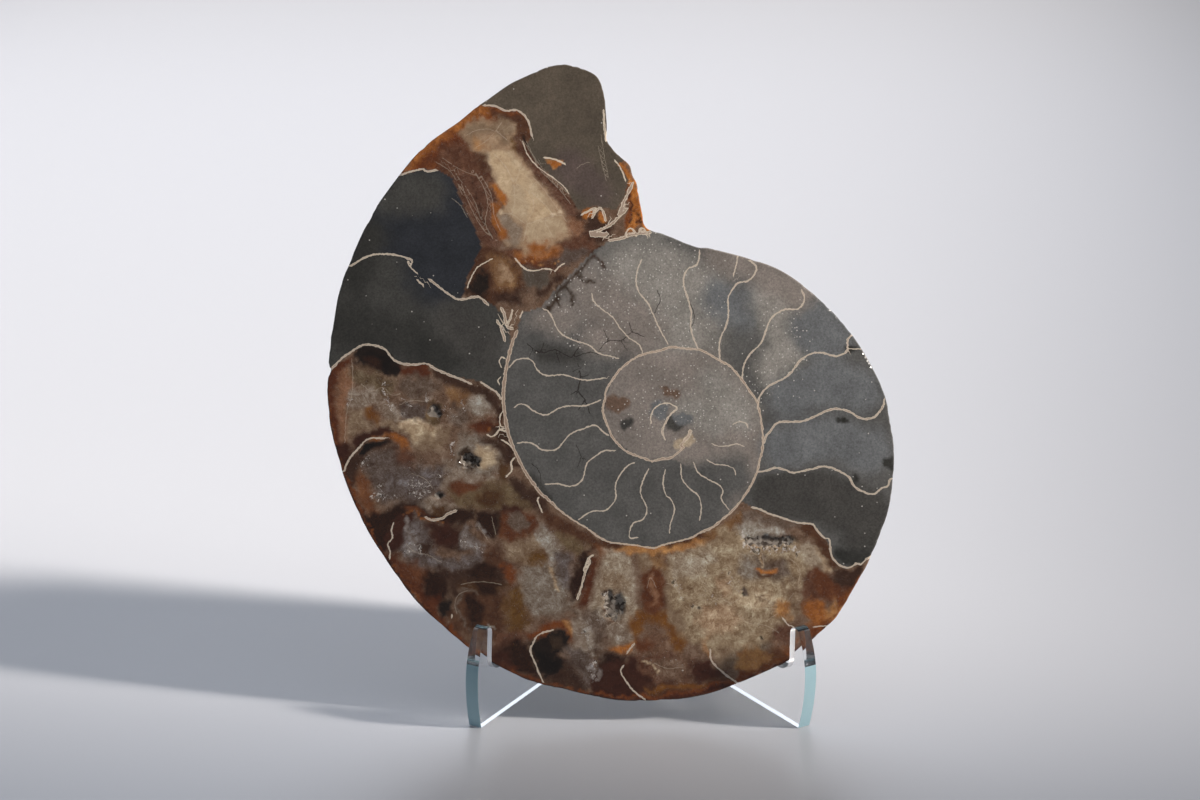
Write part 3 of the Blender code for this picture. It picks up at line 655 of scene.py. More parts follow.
CALCITE_PATCHES = [
    ("rust", 0.6, 3, [(398, 174), (415, 155), (434, 139), (456, 123), (480, 104), (500, 103),
                      (524, 107), (536, 118), (540, 136), (530, 140), (500, 122), (478, 122),
                      (465, 128), (466, 140), (478, 150), (470, 165), (450, 170), (430, 167)]),
    ("copper", 0.6, 3, [(402, 168), (433, 140), (470, 110), (492, 104), (492, 111), (472, 122),
                        (455, 131), (440, 143), (425, 155), (412, 167)]),
    ("russet", 0.5, 3, [(425, 162), (440, 150), (452, 139), (466, 139), (477, 152), (470, 166)]),
    ("brown", 0.5, 2, [(492, 109), (507, 110), (524, 112), (533, 122), (537, 138), (526, 138),
                       (520, 128), (508, 120), (496, 116)]),
    ("mahogany", 0.7, 4, [(444, 150), (454, 143), (468, 144), (480, 152), (488, 165),
                          (494, 178), (484, 184), (470, 180), (455, 175), (442, 168)]),
    ("umber_rose", 0.7, 2, [(452, 170), (470, 176), (486, 180), (496, 186), (501, 198),
                            (500, 212), (502, 226), (507, 236), (502, 246), (486, 248),
                            (480, 235), (477, 222), (469, 208), (464, 192), (456, 180)]),
    ("sand", 0.12, 2.5, [(463, 131), (472, 124), (486, 119), (500, 119), (512, 126), (519, 138),
                         (520, 152), (527, 160), (534, 170), (542, 180), (549, 187), (556, 197),
                         (563, 206), (569, 214), (573, 226), (576, 234), (566, 241), (552, 246),
                         (530, 250), (518, 247), (508, 243), (508, 232), (503, 222), (502, 212),
                         (507, 204), (511, 196), (506, 186), (499, 178), (494, 168), (488, 158),
                         (482, 149), (472, 140)]),
    ("cream", 0.12, 3, [(488, 152), (500, 150), (512, 152), (522, 160), (530, 172), (540, 184),
                        (548, 192), (554, 204), (552, 214), (538, 220), (528, 222), (518, 214),
                        (508, 210), (512, 198), (509, 186), (500, 176), (494, 164)]),
    ("cream_light", 0.1, 5, [(508, 166), (518, 166), (530, 182), (540, 196), (544, 208),
                             (534, 216), (522, 212), (518, 198), (514, 182)]),
    ("bright_cream", 0.1, 2, [(489, 154), (497, 152), (500, 161), (498, 168), (493, 163)]),
    ("tan", 0.2, 4, [(466, 130), (486, 121), (502, 122), (514, 132), (516, 142), (502, 146),
                     (486, 146), (474, 140)]),
    ("honey", 0.2, 2.5, [(478, 138), (488, 140), (490, 147), (482, 148)]),
    ("olive_amber", 0.3, 3, [(514, 130), (520, 138), (521, 152), (516, 150), (514, 140)]),
    ("grey_crystal", 0.3, 2, [(503, 215), (513, 213), (522, 219), (527, 228), (524, 240),
                              (516, 248), (510, 240), (507, 228)]),
    ("orange", 0.2, 1.5, [(492, 181), (501, 182), (508, 190), (510, 197), (505, 205),
                          (500, 203), (498, 193)]),
    ("copper", 0.3, 1.5, [(496, 203), (502, 206), (502, 216), (506, 226), (511, 237),
                          (504, 238), (497, 224), (495, 212)]),
    ("umber_rose", 0.7, 2, [(523, 130), (532, 138), (534, 150), (543, 164), (555, 178),
                            (567, 190), (572, 200), (580, 212), (588, 222), (584, 232),
                            (576, 228), (569, 214), (561, 206), (554, 194), (546, 182),
                            (536, 173), (528, 160), (520, 148)]),
    ("umber", 0.7, 3, [(578, 212), (590, 208), (606, 218), (616, 226), (612, 240), (596, 244),
                       (584, 240), (577, 230)]),
    ("mahogany", 0.6, 2.5, [(502, 250), (514, 246), (530, 250), (548, 248), (562, 242),
                            (578, 236), (596, 238), (600, 248), (586, 257), (572, 262),
                            (560, 272), (546, 274), (534, 270), (520, 264), (510, 257)]),
    ("copper", 0.4, 2, [(514, 250), (530, 252), (546, 250), (562, 244), (566, 249), (553, 257),
                        (540, 261), (526, 260)]),
    ("rust", 0.3, 1.5, [(519, 256), (530, 257), (543, 263), (536, 266), (525, 263)]),
    ("dusk", 0.6, 2.5, [(554, 258), (568, 249), (584, 246), (594, 250), (584, 259),
                        (572, 264), (560, 266)]),
    ("brown", 0.6, 2.5, [(476, 242), (500, 246), (514, 256), (524, 266), (528, 280),
                         (522, 295), (508, 302), (492, 304), (474, 298), (466, 290),
                         (470, 274), (474, 256)]),
    ("tan_brown", 0.6, 5, [(496, 256), (510, 256), (519, 268), (521, 284), (513, 292),
                           (503, 288), (497, 278), (493, 266)]),
    ("sand", 0.5, 3, [(502, 264), (510, 268), (514, 280), (506, 280), (500, 272)]),
    ("soot", 0.4, 3, [(468, 293), (474, 276), (481, 267), (488, 272), (490, 287), (484, 296)]),
    ("umber", 0.6, 3, [(496, 294), (512, 292), (524, 288), (546, 284), (560, 272),
                       (566, 276), (546, 296), (524, 306), (498, 304)]),
    ("pocket_grey", 0.2, 1.5, [(526, 268), (538, 270), (552, 270), (548, 281), (538, 288),
                               (528, 288), (525, 278)]),

    ("pink_tan", 0.9, 4, [(352, 372), (400, 372), (450, 388), (490, 396), (496, 420), (470, 440),
                          (440, 452), (410, 444), (396, 432), (370, 424), (350, 430)]),
    ("red_brown", 0.4, 2, [(324, 372), (333, 362), (345, 353), (353, 352), (354, 358),
                           (344, 367), (337, 384), (336, 410), (340, 436), (346, 456),
                           (353, 470), (346, 476), (334, 448), (326, 415)]),
    ("rose_tan", 0.5, 2.5, [(338, 376), (346, 363), (354, 364), (353, 380), (349, 396),
                            (347, 420), (347, 434), (343, 444), (338, 425), (336, 400)]),
    ("soot", 0.2, 1.5, [(351, 352), (360, 343), (376, 339), (389, 345), (399, 357), (403, 364),
                        (398, 372), (388, 370), (378, 368), (366, 363), (358, 358)]),
    ("dark_brown", 0.2, 2, [(364, 354), (378, 352), (386, 358), (381, 366), (370, 366)]),
    ("red_brown", 0.3, 1.5, [(399, 361), (412, 363), (428, 358), (436, 367), (430, 372),
                             (412, 374), (402, 371)]),
    ("umber", 0.4, 2, [(434, 364), (456, 373), (476, 381), (482, 390), (470, 391), (452, 384),
                       (434, 376)]),
    ("olive_grey", 1.0, 4, [(355, 365), (372, 369), (386, 374), (398, 377), (392, 392),
                            (378, 392), (366, 386), (355, 382)]),
    ("pale", 1.0, 4, [(351, 385), (364, 386), (376, 392), (386, 400), (384, 411), (374, 402),
                      (358, 404), (349, 406)]),
    ("pale", 0.9, 3, [(384, 403), (396, 402), (402, 412), (398, 420), (388, 418)]),
    ("dusk_tan", 0.9, 4, [(402, 375), (432, 375), (440, 385), (430, 396), (412, 396),
                          (400, 388)]),
    ("tan_brown", 0.5, 3, [(446, 384), (460, 386), (472, 393), (464, 404), (452, 404),
                           (446, 396)]),
    ("dusk", 1.0, 2, [(398, 402), (410, 398), (428, 399), (431, 408), (424, 418), (410, 417),
                      (402, 414)]),
    ("olive", 0.4, 1.2, [(430, 398), (441, 404), (442, 414), (434, 423), (426, 421),
                         (424, 416), (430, 408)]),
    ("cream", 0.6, 3, [(402, 419), (426, 419), (437, 427), (434, 438), (422, 442), (412, 436),
                       (404, 428)]),
    ("bright_cream", 0.6, 1, [(401, 418), (412, 416), (423, 417), (424, 421), (410, 421),
                              (402, 422)]),
    ("tan", 0.5, 5, [(412, 438), (436, 428), (448, 430), (444, 444), (430, 454), (416, 452)]),
    ("tan", 0.7, 3, [(347, 404), (362, 404), (366, 418), (376, 424), (390, 418), (402, 424),
                     (398, 430), (380, 425), (362, 425), (352, 433), (346, 430)]),
    ("amber", 0.3, 2.5, [(364, 403), (372, 404), (380, 417), (376, 423), (369, 416)]),
    ("maroon", 0.3, 1.5, [(351, 450), (355, 434), (365, 427), (380, 425), (396, 429),
                          (404, 434), (400, 438), (384, 433), (368, 434), (360, 441)]),
    ("copper", 0.3, 1.5, [(386, 432), (397, 432), (406, 437), (411, 446), (407, 453),
                          (402, 447), (394, 439), (384, 436), (368, 437), (370, 433)]),
    ("haze", 0.7, 4, [(466, 403), (474, 396), (486, 395), (492, 402), (488, 410), (478, 412)]),
    ("umber", 0.4, 2, [(478, 380), (489, 386), (499, 395), (504, 407), (504, 420), (497, 418),
                       (492, 408), (485, 396), (476, 389)]),
    ("red_brown", 0.3, 2, [(470, 426), (480, 421), (492, 419), (504, 419), (503, 427),
                           (490, 430), (476, 431)]),
    ("orange", 0.3, 1, [(473, 427), (488, 427), (489, 430), (476, 430)]),
    ("dusk_tan", 0.9, 4, [(454, 402), (466, 404), (472, 413), (470, 422), (460, 427),
                          (450, 418)]),

    ("dusk", 1.0, 4, [(360, 458), (376, 446), (396, 443), (412, 452), (434, 458), (454, 460),
                      (455, 470), (441, 482), (435, 492), (438, 500), (420, 505), (396, 502),
                      (380, 496), (370, 480), (360, 468)]),
    ("umber", 0.4, 2, [(341, 472), (348, 454), (358, 444), (368, 438), (386, 434), (388, 441),
                       (376, 446), (362, 455), (356, 465), (354, 478), (350, 486)]),
    ("black", 0.3, 1.5, [(358, 446), (366, 440), (378, 436), (384, 438), (374, 445),
                         (362, 452)]),
    ("rust_tan", 0.5, 3, [(353, 472), (359, 466), (366, 478), (373, 496), (381, 510),
                          (372, 516), (361, 504), (354, 490)]),
    ("red_brown", 0.4, 2, [(341, 474), (349, 482), (360, 504), (374, 524), (384, 540),
                           (390, 560), (378, 556), (362, 532), (348, 502)]),
    ("mahogany", 0.5, 4, [(394, 444), (405, 444), (415, 453), (412, 465), (400, 462)]),
    ("lilac", 1.0, 5, [(384, 470), (420, 466), (444, 468), (436, 486), (410, 494), (388, 488)]),
    ("pink_tan", 0.7, 4, [(410, 443), (430, 450), (447, 446), (449, 460), (430, 465),
                          (414, 460)]),
    ("stone_grey", 0.7, 3.5, [(460, 430), (476, 433), (490, 442), (503, 454), (504, 463),
                              (497, 468), (490, 474), (474, 474), (458, 468), (457, 450)]),
    ("olive_dark", 0.3, 1, [(460, 449), (468, 447), (473, 452), (479, 461), (472, 468),
                            (466, 469), (460, 463)]),
    ("pale", 0.8, 2.5, [(444, 476), (456, 468), (470, 472), (490, 474), (501, 477), (482, 480),
                        (460, 479), (446, 484), (438, 490)]),
    ("umber", 0.4, 2, [(476, 436), (492, 437), (504, 445), (514, 455), (520, 468), (510, 467),
                       (502, 456), (494, 447), (482, 442)]),
    ("olive_brown", 0.3, 2, [(499, 459), (509, 464), (508, 475), (500, 480), (496, 470)]),
    ("olive_tan", 0.5, 4, [(446, 490), (480, 483), (504, 478), (522, 484), (534, 495),
                           (534, 508), (510, 510), (490, 507), (470, 509), (455, 504)]),
    ("russet", 0.4, 2, [(448, 484), (456, 479), (470, 478), (483, 482), (474, 490), (462, 492),
                        (452, 490)]),
    ("olive_brown", 0.4, 3, [(474, 492), (488, 487), (503, 489), (500, 500), (486, 504),
                             (474, 500)]),
    ("pale", 0.8, 2.5, [(422, 503), (431, 494), (446, 498), (455, 504), (440, 510),
                        (427, 508)]),
    ("umber", 0.5, 2.5, [(506, 476), (522, 481), (534, 490), (544, 503), (548, 516), (538, 516),
                         (530, 504), (518, 494), (508, 486)]),

    ("dark_brown", 0.3, 2, [(362, 512), (384, 507), (400, 503), (414, 501), (427, 508),
                            (440, 512), (456, 507), (468, 507), (472, 516), (460, 521),
                            (448, 522), (434, 521), (424, 516), (412, 512), (400, 514),
                            (390, 521), (388, 538), (380, 548), (368, 528)]),
    ("russet", 0.3, 1.5, [(403, 506), (416, 505), (425, 511), (416, 512), (406, 511)]),
    ("lilac", 1.0, 3, [(396, 520), (412, 514), (424, 520), (428, 540), (440, 552), (460, 556),
                       (478, 546), (486, 555), (474, 567), (450, 568), (428, 565), (408, 561),
                       (396, 550), (390, 538), (392, 526)]),
    ("umber", 0.6, 3, [(440, 522), (458, 524), (470, 528), (478, 540), (470, 548), (456, 550),
                       (444, 546)]),
    ("maroon", 0.4, 3, [(424, 519), (444, 520), (456, 527), (456, 538), (446, 544), (434, 543),
                        (428, 534)]),
    ("mauve", 1.0, 2.5, [(456, 528), (464, 524), (471, 535), (482, 545), (475, 552),
                         (462, 547), (456, 540)]),
    ("mauve", 1.0, 3, [(402, 538), (412, 530), (420, 542), (418, 552), (406, 554)]),
    ("dark_brown", 0.4, 2.5, [(472, 511), (486, 508), (500, 512), (506, 522), (500, 534),
                              (490, 541), (480, 531), (474, 522)]),
    ("russet", 0.4, 2, [(498, 514), (514, 507), (529, 509), (536, 522), (529, 536), (514, 543),
                        (502, 539), (498, 528)]),
    ("dusk_tan", 0.6, 1.5, [(506, 514), (516, 509), (525, 514), (527, 524), (520, 532),
                            (512, 527), (505, 522)]),
    ("dark_brown", 0.3, 2, [(362, 518), (380, 520), (392, 520), (389, 538), (385, 552),
                            (374, 540)]),
    ("red_brown", 0.4, 3, [(384, 550), (396, 552), (404, 566), (417, 578), (430, 592),
                           (424, 602), (408, 590), (394, 574)]),
    ("russet", 0.5, 4, [(398, 560), (416, 562), (428, 570), (425, 584), (413, 583),
                        (402, 574)]),
    ("dark_brown", 0.3, 3, [(424, 566), (440, 567), (446, 580), (443, 597), (430, 600),
                            (422, 590), (420, 578)]),
    ("umber", 0.5, 3, [(438, 564), (460, 566), (478, 560), (492, 552), (506, 558), (507, 570),
                       (500, 582), (480, 586), (458, 586), (442, 580)]),
    ("dark_brown", 0.4, 2.5, [(466, 567), (484, 562), (497, 564), (494, 576), (480, 580),
                              (468, 576)]),
    ("brown", 0.5, 2.5, [(478, 553), (490, 543), (501, 547), (505, 558), (496, 563),
                         (484, 563)]),
    ("rust", 0.3, 2.5, [(501, 562), (508, 565), (513, 577), (507, 583), (502, 574)]),
    ("red_brown", 0.4, 2.5, [(418, 596), (436, 594), (438, 612), (448, 622), (458, 633),
                             (470, 644), (478, 658), (456, 650), (436, 630), (420, 608)]),
    ("soot", 0.3, 1.5, [(438, 598), (448, 597), (450, 608), (448, 616), (440, 616),
                        (436, 608)]),
    ("brown", 0.6, 4, [(454, 590), (498, 582), (505, 600), (502, 624), (500, 644), (484, 640),
                       (466, 630), (454, 614)]),
    ("dark_brown", 0.4, 2.5, [(462, 596), (474, 594), (480, 602), (478, 616), (472, 622),
                              (464, 612)]),
    ("olive_brown", 0.4, 3, [(456, 582), (480, 580), (502, 581), (500, 590), (478, 590),
                             (460, 587)]),
    ("olive_amber", 0.4, 4, [(506, 586), (516, 583), (524, 594), (522, 610), (527, 622),
                             (518, 635), (506, 637), (502, 620), (504, 602)]),
    ("mahogany", 0.5, 3, [(486, 636), (508, 628), (522, 632), (522, 641), (508, 647),
                          (492, 652)]),
    ("dark_brown", 0.3, 3, [(496, 645), (512, 640), (526, 640), (528, 652), (534, 664),
                            (542, 682), (528, 678), (510, 668), (498, 658)]),
    ("red_brown", 0.3, 2, [(480, 648), (490, 652), (506, 664), (524, 674), (540, 681),
                           (534, 688), (512, 680), (492, 668), (480, 658)]),
    ("umber", 0.5, 3, [(538, 656), (556, 654), (570, 662), (584, 684), (578, 694), (558, 690),
                       (542, 680)]),
    ("rust", 0.3, 1.5, [(525, 635), (540, 624), (556, 619), (567, 621), (573, 632), (571, 643),
                        (564, 641), (560, 630), (548, 630), (534, 637), (528, 641)]),
    ("honey", 0.3, 1.5, [(558, 620), (568, 623), (573, 634), (567, 638), (562, 627)]),
    ("soot", 0.3, 1.2, [(527, 645), (536, 635), (548, 631), (560, 631), (565, 641), (560, 653),
                        (550, 659), (540, 657), (532, 653)]),
    ("olive_dark", 0.3, 1.5, [(545, 636), (556, 634), (561, 642), (556, 650), (547, 649)]),
    ("dusk", 0.9, 3, [(562, 648), (574, 646), (586, 652), (592, 668), (598, 684), (584, 686),
                      (574, 672), (564, 661)]),
    ("dark_brown", 0.4, 2.5, [(594, 658), (606, 654), (620, 656), (618, 672), (626, 692),
                              (610, 696), (596, 690), (592, 674)]),

    ("stone_grey", 0.9, 4, [(520, 566), (540, 558), (560, 566), (568, 586), (568, 608),
                            (552, 618), (532, 614), (522, 600), (518, 582)]),
    ("tan", 0.8, 4, [(506, 542), (528, 537), (541, 542), (541, 556), (530, 562), (514, 560),
                     (506, 552)]),
    ("haze", 0.8, 3, [(536, 520), (546, 524), (553, 540), (557, 557), (549, 562), (542, 546),
                      (536, 534)]),
    ("olive_amber", 0.4, 3, [(525, 550), (540, 549), (547, 556), (540, 563), (529, 565),
                             (523, 558)]),
    ("lilac", 0.9, 4, [(551, 556), (566, 550), (571, 566), (569, 586), (560, 584),
                       (552, 572)]),
    ("brown", 0.5, 2.5, [(540, 512), (556, 514), (572, 524), (590, 535), (606, 542), (602, 549),
                         (584, 547), (566, 539), (552, 531), (542, 524)]),
    ("olive_tan", 0.6, 3, [(552, 532), (570, 538), (586, 546), (580, 557), (566, 552),
                           (556, 544)]),
    ("dark_brown", 0.3, 2, [(577, 556), (590, 549), (586, 564), (579, 584), (575, 602),
                            (569, 602), (569, 580), (573, 566)]),
    ("red_brown", 0.3, 1.5, [(589, 556), (594, 562), (588, 584), (583, 600), (576, 606),
                             (578, 590), (584, 572)]),
    ("rust_tan", 0.4, 3, [(592, 546), (606, 546), (607, 556), (600, 563), (594, 568)]),
    ("stone_cream", 0.9, 4, [(600, 551), (620, 551), (628, 566), (632, 590), (634, 610),
                             (624, 620), (600, 622), (590, 610), (590, 590), (596, 570)]),
    ("tan", 0.9, 5, [(598, 572), (624, 573), (626, 592), (600, 592)]),
    ("umber", 0.6, 0.8, [(600, 592), (606, 590), (610, 596), (622, 600), (618, 612),
                         (614, 618), (606, 620), (600, 612), (602, 604)]),
    ("brown", 0.6, 0.8, [(602, 624), (608, 620), (616, 627), (608, 630), (602, 639),
                         (600, 632)]),
    ("dusk_tan", 1.0, 4, [(572, 612), (596, 608), (602, 622), (600, 640), (596, 658),
                          (580, 654), (572, 640), (568, 624)]),
    ("tan", 0.9, 3, [(604, 628), (620, 622), (632, 632), (630, 646), (616, 650), (606, 646)]),
    ("amber", 0.4, 3, [(630, 612), (650, 609), (664, 615), (676, 625), (686, 636), (682, 650),
                       (670, 653), (666, 640), (656, 628), (644, 621), (638, 632), (632, 642),
                       (626, 628)]),
    ("rose_brown", 0.6, 4, [(640, 636), (652, 630), (664, 640), (668, 654), (656, 658),
                            (642, 656)]),
    ("russet", 0.4, 2.5, [(630, 642), (642, 637), (651, 646), (642, 653), (634, 654)]),
    ("orange", 0.4, 2, [(605, 650), (616, 646), (630, 642), (627, 652), (612, 655)]),
    ("maroon", 0.4, 2.5, [(620, 654), (632, 660), (640, 673), (653, 685), (650, 694),
                          (634, 692), (622, 676)]),
    ("mahogany", 0.7, 3, [(630, 655), (660, 655), (690, 660), (694, 674), (684, 686),
                          (656, 687), (638, 674)]),
    ("pink_tan", 0.9, 4, [(648, 663), (668, 661), (686, 665), (692, 676), (672, 683),
                          (652, 678)]),
    ("maroon", 0.4, 3, [(690, 664), (704, 660), (713, 667), (726, 677), (716, 686), (696, 686),
                        (688, 676)]),
    ("brown", 0.4, 2, [(630, 688), (660, 684), (700, 684), (728, 679), (740, 686), (704, 700),
                       (670, 706), (630, 704)]),
    ("amber", 0.3, 1.5, [(640, 690), (664, 686), (702, 685), (702, 689), (668, 691),
                         (644, 694)]),
    ("red_brown", 0.3, 1.2, [(630, 698), (670, 695), (704, 691), (738, 682), (742, 690),
                             (704, 702), (670, 706), (630, 706)]),

    ("stone_tan", 0.9, 4, [(664, 560), (700, 548), (730, 534), (764, 540), (800, 548),
                           (812, 576), (806, 600), (790, 618), (770, 642), (740, 652),
                           (700, 652), (680, 644), (664, 612)]),
    ("stone_cream", 0.9, 4, [(668, 562), (690, 556), (706, 552), (714, 562), (706, 574),
                             (690, 581), (672, 578)]),
    ("sand", 0.8, 4, [(698, 606), (730, 608), (740, 622), (728, 638), (706, 638), (694, 624)]),
    ("cream", 0.8, 4, [(724, 592), (748, 592), (768, 596), (776, 606), (756, 612),
                       (734, 610)]),
    ("sand", 0.7, 2.5, [(713, 583), (726, 581), (729, 594), (718, 599)]),
    ("haze", 0.9, 4, [(732, 524), (750, 521), (764, 528), (778, 528), (786, 538), (770, 541),
                      (748, 541), (736, 540)]),
    ("dusk_tan", 0.9, 4, [(760, 560), (790, 558), (797, 568), (792, 582), (776, 584),
                          (766, 582), (754, 572)]),
    ("stone_grey", 0.9, 4, [(736, 560), (756, 560), (760, 572), (752, 584), (740, 580)]),
    ("brown", 0.3, 1.2, [(753, 574), (760, 577), (768, 577), (775, 574), (767, 582),
                         (757, 581)]),
    ("orange", 0.3, 0.8, [(754, 570), (762, 570), (775, 573), (770, 576), (756, 574)]),
    ("stone_cream", 0.8, 3, [(796, 556), (806, 546), (817, 547), (823, 560), (832, 573),
                             (824, 580), (811, 568), (803, 578), (796, 568)]),
    ("cream", 0.5, 1.5, [(816, 549), (822, 551), (827, 564), (832, 574), (826, 577),
                         (820, 564)]),
    ("brown", 0.4, 2, [(782, 522), (800, 524), (813, 528), (824, 540), (830, 556), (825, 555),
                       (816, 544), (806, 537), (790, 533)]),
    ("dusk_tan", 0.5, 2, [(732, 514), (752, 512), (772, 519), (786, 524), (800, 532),
                          (784, 534), (768, 528), (750, 522), (738, 521)]),
    ("tan", 0.8, 4, [(784, 590), (800, 588), (808, 602), (796, 617), (784, 612)]),
    ("mahogany", 0.6, 3, [(800, 578), (813, 573), (823, 584), (820, 602), (810, 612),
                          (800, 604)]),
    ("russet", 0.4, 2.5, [(812, 571), (828, 577), (837, 588), (840, 600), (826, 607),
                          (816, 600), (811, 588)]),
    ("umber", 0.4, 1.5, [(830, 570), (846, 574), (862, 566), (858, 584), (848, 593),
                         (838, 592), (831, 584)]),
    ("rust", 0.3, 2, [(848, 592), (862, 578), (852, 602), (840, 618), (828, 632), (812, 644),
                      (800, 642), (806, 630), (820, 626), (832, 616), (842, 602)]),
    ("copper", 0.5, 2.5, [(804, 604), (818, 605), (828, 618), (820, 629), (806, 628),
                          (800, 616)]),
    ("honey", 0.3, 2, [(823, 613), (834, 603), (845, 599), (841, 611), (832, 621),
                       (824, 623)]),
    ("honey", 0.5, 2.5, [(774, 606), (784, 605), (789, 616), (783, 623), (774, 619)]),
    ("umber_rose", 0.5, 3, [(768, 632), (784, 625), (796, 632), (796, 648), (780, 650),
                            (767, 642)]),
    ("rose_tan", 0.5, 4, [(720, 654), (748, 648), (770, 648), (780, 654), (764, 664),
                          (740, 668), (724, 664)]),
    ("rust_tan", 0.4, 3, [(736, 668), (760, 658), (780, 650), (800, 646), (800, 656),
                          (776, 667), (758, 675), (738, 680)]),
    ("rust", 0.3, 1.5, [(730, 684), (756, 675), (776, 665), (798, 652), (804, 660), (780, 676),
                        (756, 688), (732, 692)]),
    ("orange", 0.4, 2, [(700, 642), (708, 639), (713, 650), (708, 659), (700, 652)]),
    ("pink_tan", 0.7, 3, [(682, 646), (698, 646), (698, 661), (684, 661)]),
    ("honey", 0.5, 2, [(604, 546), (630, 542), (650, 548), (668, 544), (690, 538), (702, 536),
                        (706, 544), (690, 551), (668, 555), (650, 558), (630, 556),
                        (610, 553)]),
    ("tan_brown", 0.5, 2, [(700, 536), (716, 528), (730, 519), (740, 513), (742, 522),
                           (727, 532), (713, 542), (702, 546)]),
    ("tan_brown", 0.6, 3, [(639, 558), (661, 556), (663, 570), (650, 571), (640, 573)]),
    ("russet", 0.4, 2, [(640, 575), (650, 568), (659, 572), (661, 590), (659, 606), (650, 615),
                        (642, 609), (639, 592)]),
    ("rose_tan", 0.4, 1.2, [(647, 575), (652, 575), (652, 604), (648, 607)]),
    ("soot", 0.3, 2, [(527, 644), (536, 646), (548, 656), (560, 656), (556, 668), (544, 674),
                      (532, 668)]),
    ("umber", 0.4, 3, [(492, 424), (508, 422), (514, 440), (520, 456), (510, 456), (500, 444),
                       (490, 434)]),
    ("pale", 1.0, 3, [(572, 620), (584, 618), (590, 636), (587, 652), (578, 652), (572, 640)]),
    ("maroon", 0.3, 2, [(392, 514), (408, 511), (414, 518), (404, 527), (397, 545), (388, 552),
                        (386, 530)]),
    ("stone_tan", 0.6, 4, [(700, 640), (740, 638), (764, 638), (768, 648), (758, 656),
                           (738, 658), (712, 660), (702, 652)]),
    ("tan", 0.5, 3, [(714, 652), (742, 652), (744, 668), (720, 670)]),
    ("pale", 0.6, 2, [(568, 622), (579, 618), (582, 648), (570, 648)]),
    ("pale", 0.8, 2.5, [(442, 455), (457, 455), (456, 469), (444, 470)]),
    ("stone_tan", 0.8, 3, [(783, 557), (803, 557), (805, 577), (788, 579)]),
    ("umber", 0.5, 3, [(414, 538), (428, 540), (428, 554), (417, 554)]),
    ("sand", 0.2, 2, [(508, 119), (520, 122), (524, 134), (512, 137)]),
    ("red_brown", 0.4, 2, [(469, 425), (486, 423), (488, 434), (472, 435)]),
    ("umber", 0.4, 2, [(494, 426), (508, 424), (512, 438), (498, 436)]),
    ("soot", 0.3, 2, [(526, 642), (540, 640), (542, 656), (530, 660)]),
    ("tan", 0.5, 2, [(662, 612), (680, 614), (682, 632), (664, 628)]),
    ("brown", 0.4, 2, [(598, 541), (622, 540), (624, 549), (604, 551)]),
    ("tan", 0.3, 2.5, [(498, 117), (512, 117), (522, 128), (516, 136), (502, 128)]),
    ("brown", 0.4, 1.5, [(814, 538), (824, 546), (832, 562), (838, 570), (826, 572),
                         (820, 556)]),
    ("black", 0.4, 3, [(530, 650), (548, 656), (556, 664), (548, 674), (534, 670)]),
    ("sand", 0.2, 3, [(524, 236), (552, 236), (562, 246), (544, 254), (526, 254)]),
    ("black", 0.2, 1.5, [(355, 350), (364, 345), (376, 343), (388, 349), (397, 358),
                         (399, 366), (388, 364), (380, 354), (366, 352)]),
    ("cream", 0.6, 2.5, [(478, 447), (494, 450), (496, 462), (482, 465)]),
    ("olive_brown", 0.4, 2, [(428, 503), (446, 505), (443, 512), (430, 512)]),
    ("tan", 0.5, 2, [(634, 556), (648, 556), (648, 571), (636, 572)]),
    ("sand", 0.2, 3, [(480, 134), (500, 130), (504, 144), (488, 148)]),
    ("brown", 0.4, 2.5, [(446, 612), (458, 614), (464, 630), (450, 626)]),
    ("cream_light", 0.1, 1.2, [(490, 151), (504, 150), (514, 160), (518, 182), (515, 196),
                               (509, 190), (498, 170)]),
    ("cream", 0.1, 1, [(516, 184), (530, 190), (535, 206), (529, 221), (515, 213)]),
    ("cream_light", 0.1, 1, [(531, 190), (546, 203), (555, 214), (545, 218), (530, 221),
                             (536, 206)]),
    ("cream", 0.1, 1, [(529, 224), (545, 219), (566, 216), (571, 230), (556, 238), (530, 240)]),
    ("umber", 0.4, 2, [(494, 424), (510, 424), (514, 438), (500, 438)]),
    ("honey", 0.4, 3, [(734, 656), (756, 650), (764, 660), (750, 674), (734, 672)]),
    ("brown", 0.5, 2, [(600, 534), (614, 540), (612, 547), (598, 544)]),
    ("brown", 0.3, 2.5, [(522, 126), (534, 126), (536, 140), (526, 142)]),
    ("maroon", 0.3, 2.5, [(586, 676), (600, 664), (624, 662), (636, 674), (642, 694),
                          (626, 703), (604, 702), (588, 696)]),
    ("pale", 0.9, 3, [(600, 624), (622, 623), (628, 638), (612, 646), (602, 640)]),
    ("maroon", 0.4, 2, [(335, 440), (346, 437), (353, 448), (350, 460), (342, 462)]),
    ("maroon", 0.4, 3, [(484, 646), (504, 648), (508, 662), (490, 664)]),
    ("rose_tan", 0.5, 2.5, [(571, 216), (586, 220), (588, 233), (577, 236), (570, 227)]),
    ("brown", 0.4, 2, [(664, 538), (700, 531), (704, 540), (684, 547), (666, 549)]),
    ("maroon", 0.3, 3, [(502, 504), (520, 504), (520, 512), (504, 514)]),
    ("copper", 0.2, 3, [(532, 244), (552, 244), (552, 254), (534, 256)]),
    ("tan", 0.5, 4, [(664, 616), (676, 614), (682, 628), (674, 634), (666, 628)]),
    ("stone_tan", 0.6, 3, [(716, 530), (736, 528), (740, 544), (720, 548)]),
    ("russet", 0.4, 3, [(834, 592), (846, 592), (844, 606), (834, 608)]),
    ("dark_brown", 0.3, 3, [(474, 580), (496, 580), (496, 592), (478, 592)]),
    ("umber", 0.4, 3, [(446, 580), (458, 580), (456, 596), (447, 596)]),
    ("brown", 0.4, 2.5, [(478, 150), (488, 152), (492, 166), (484, 168)]),
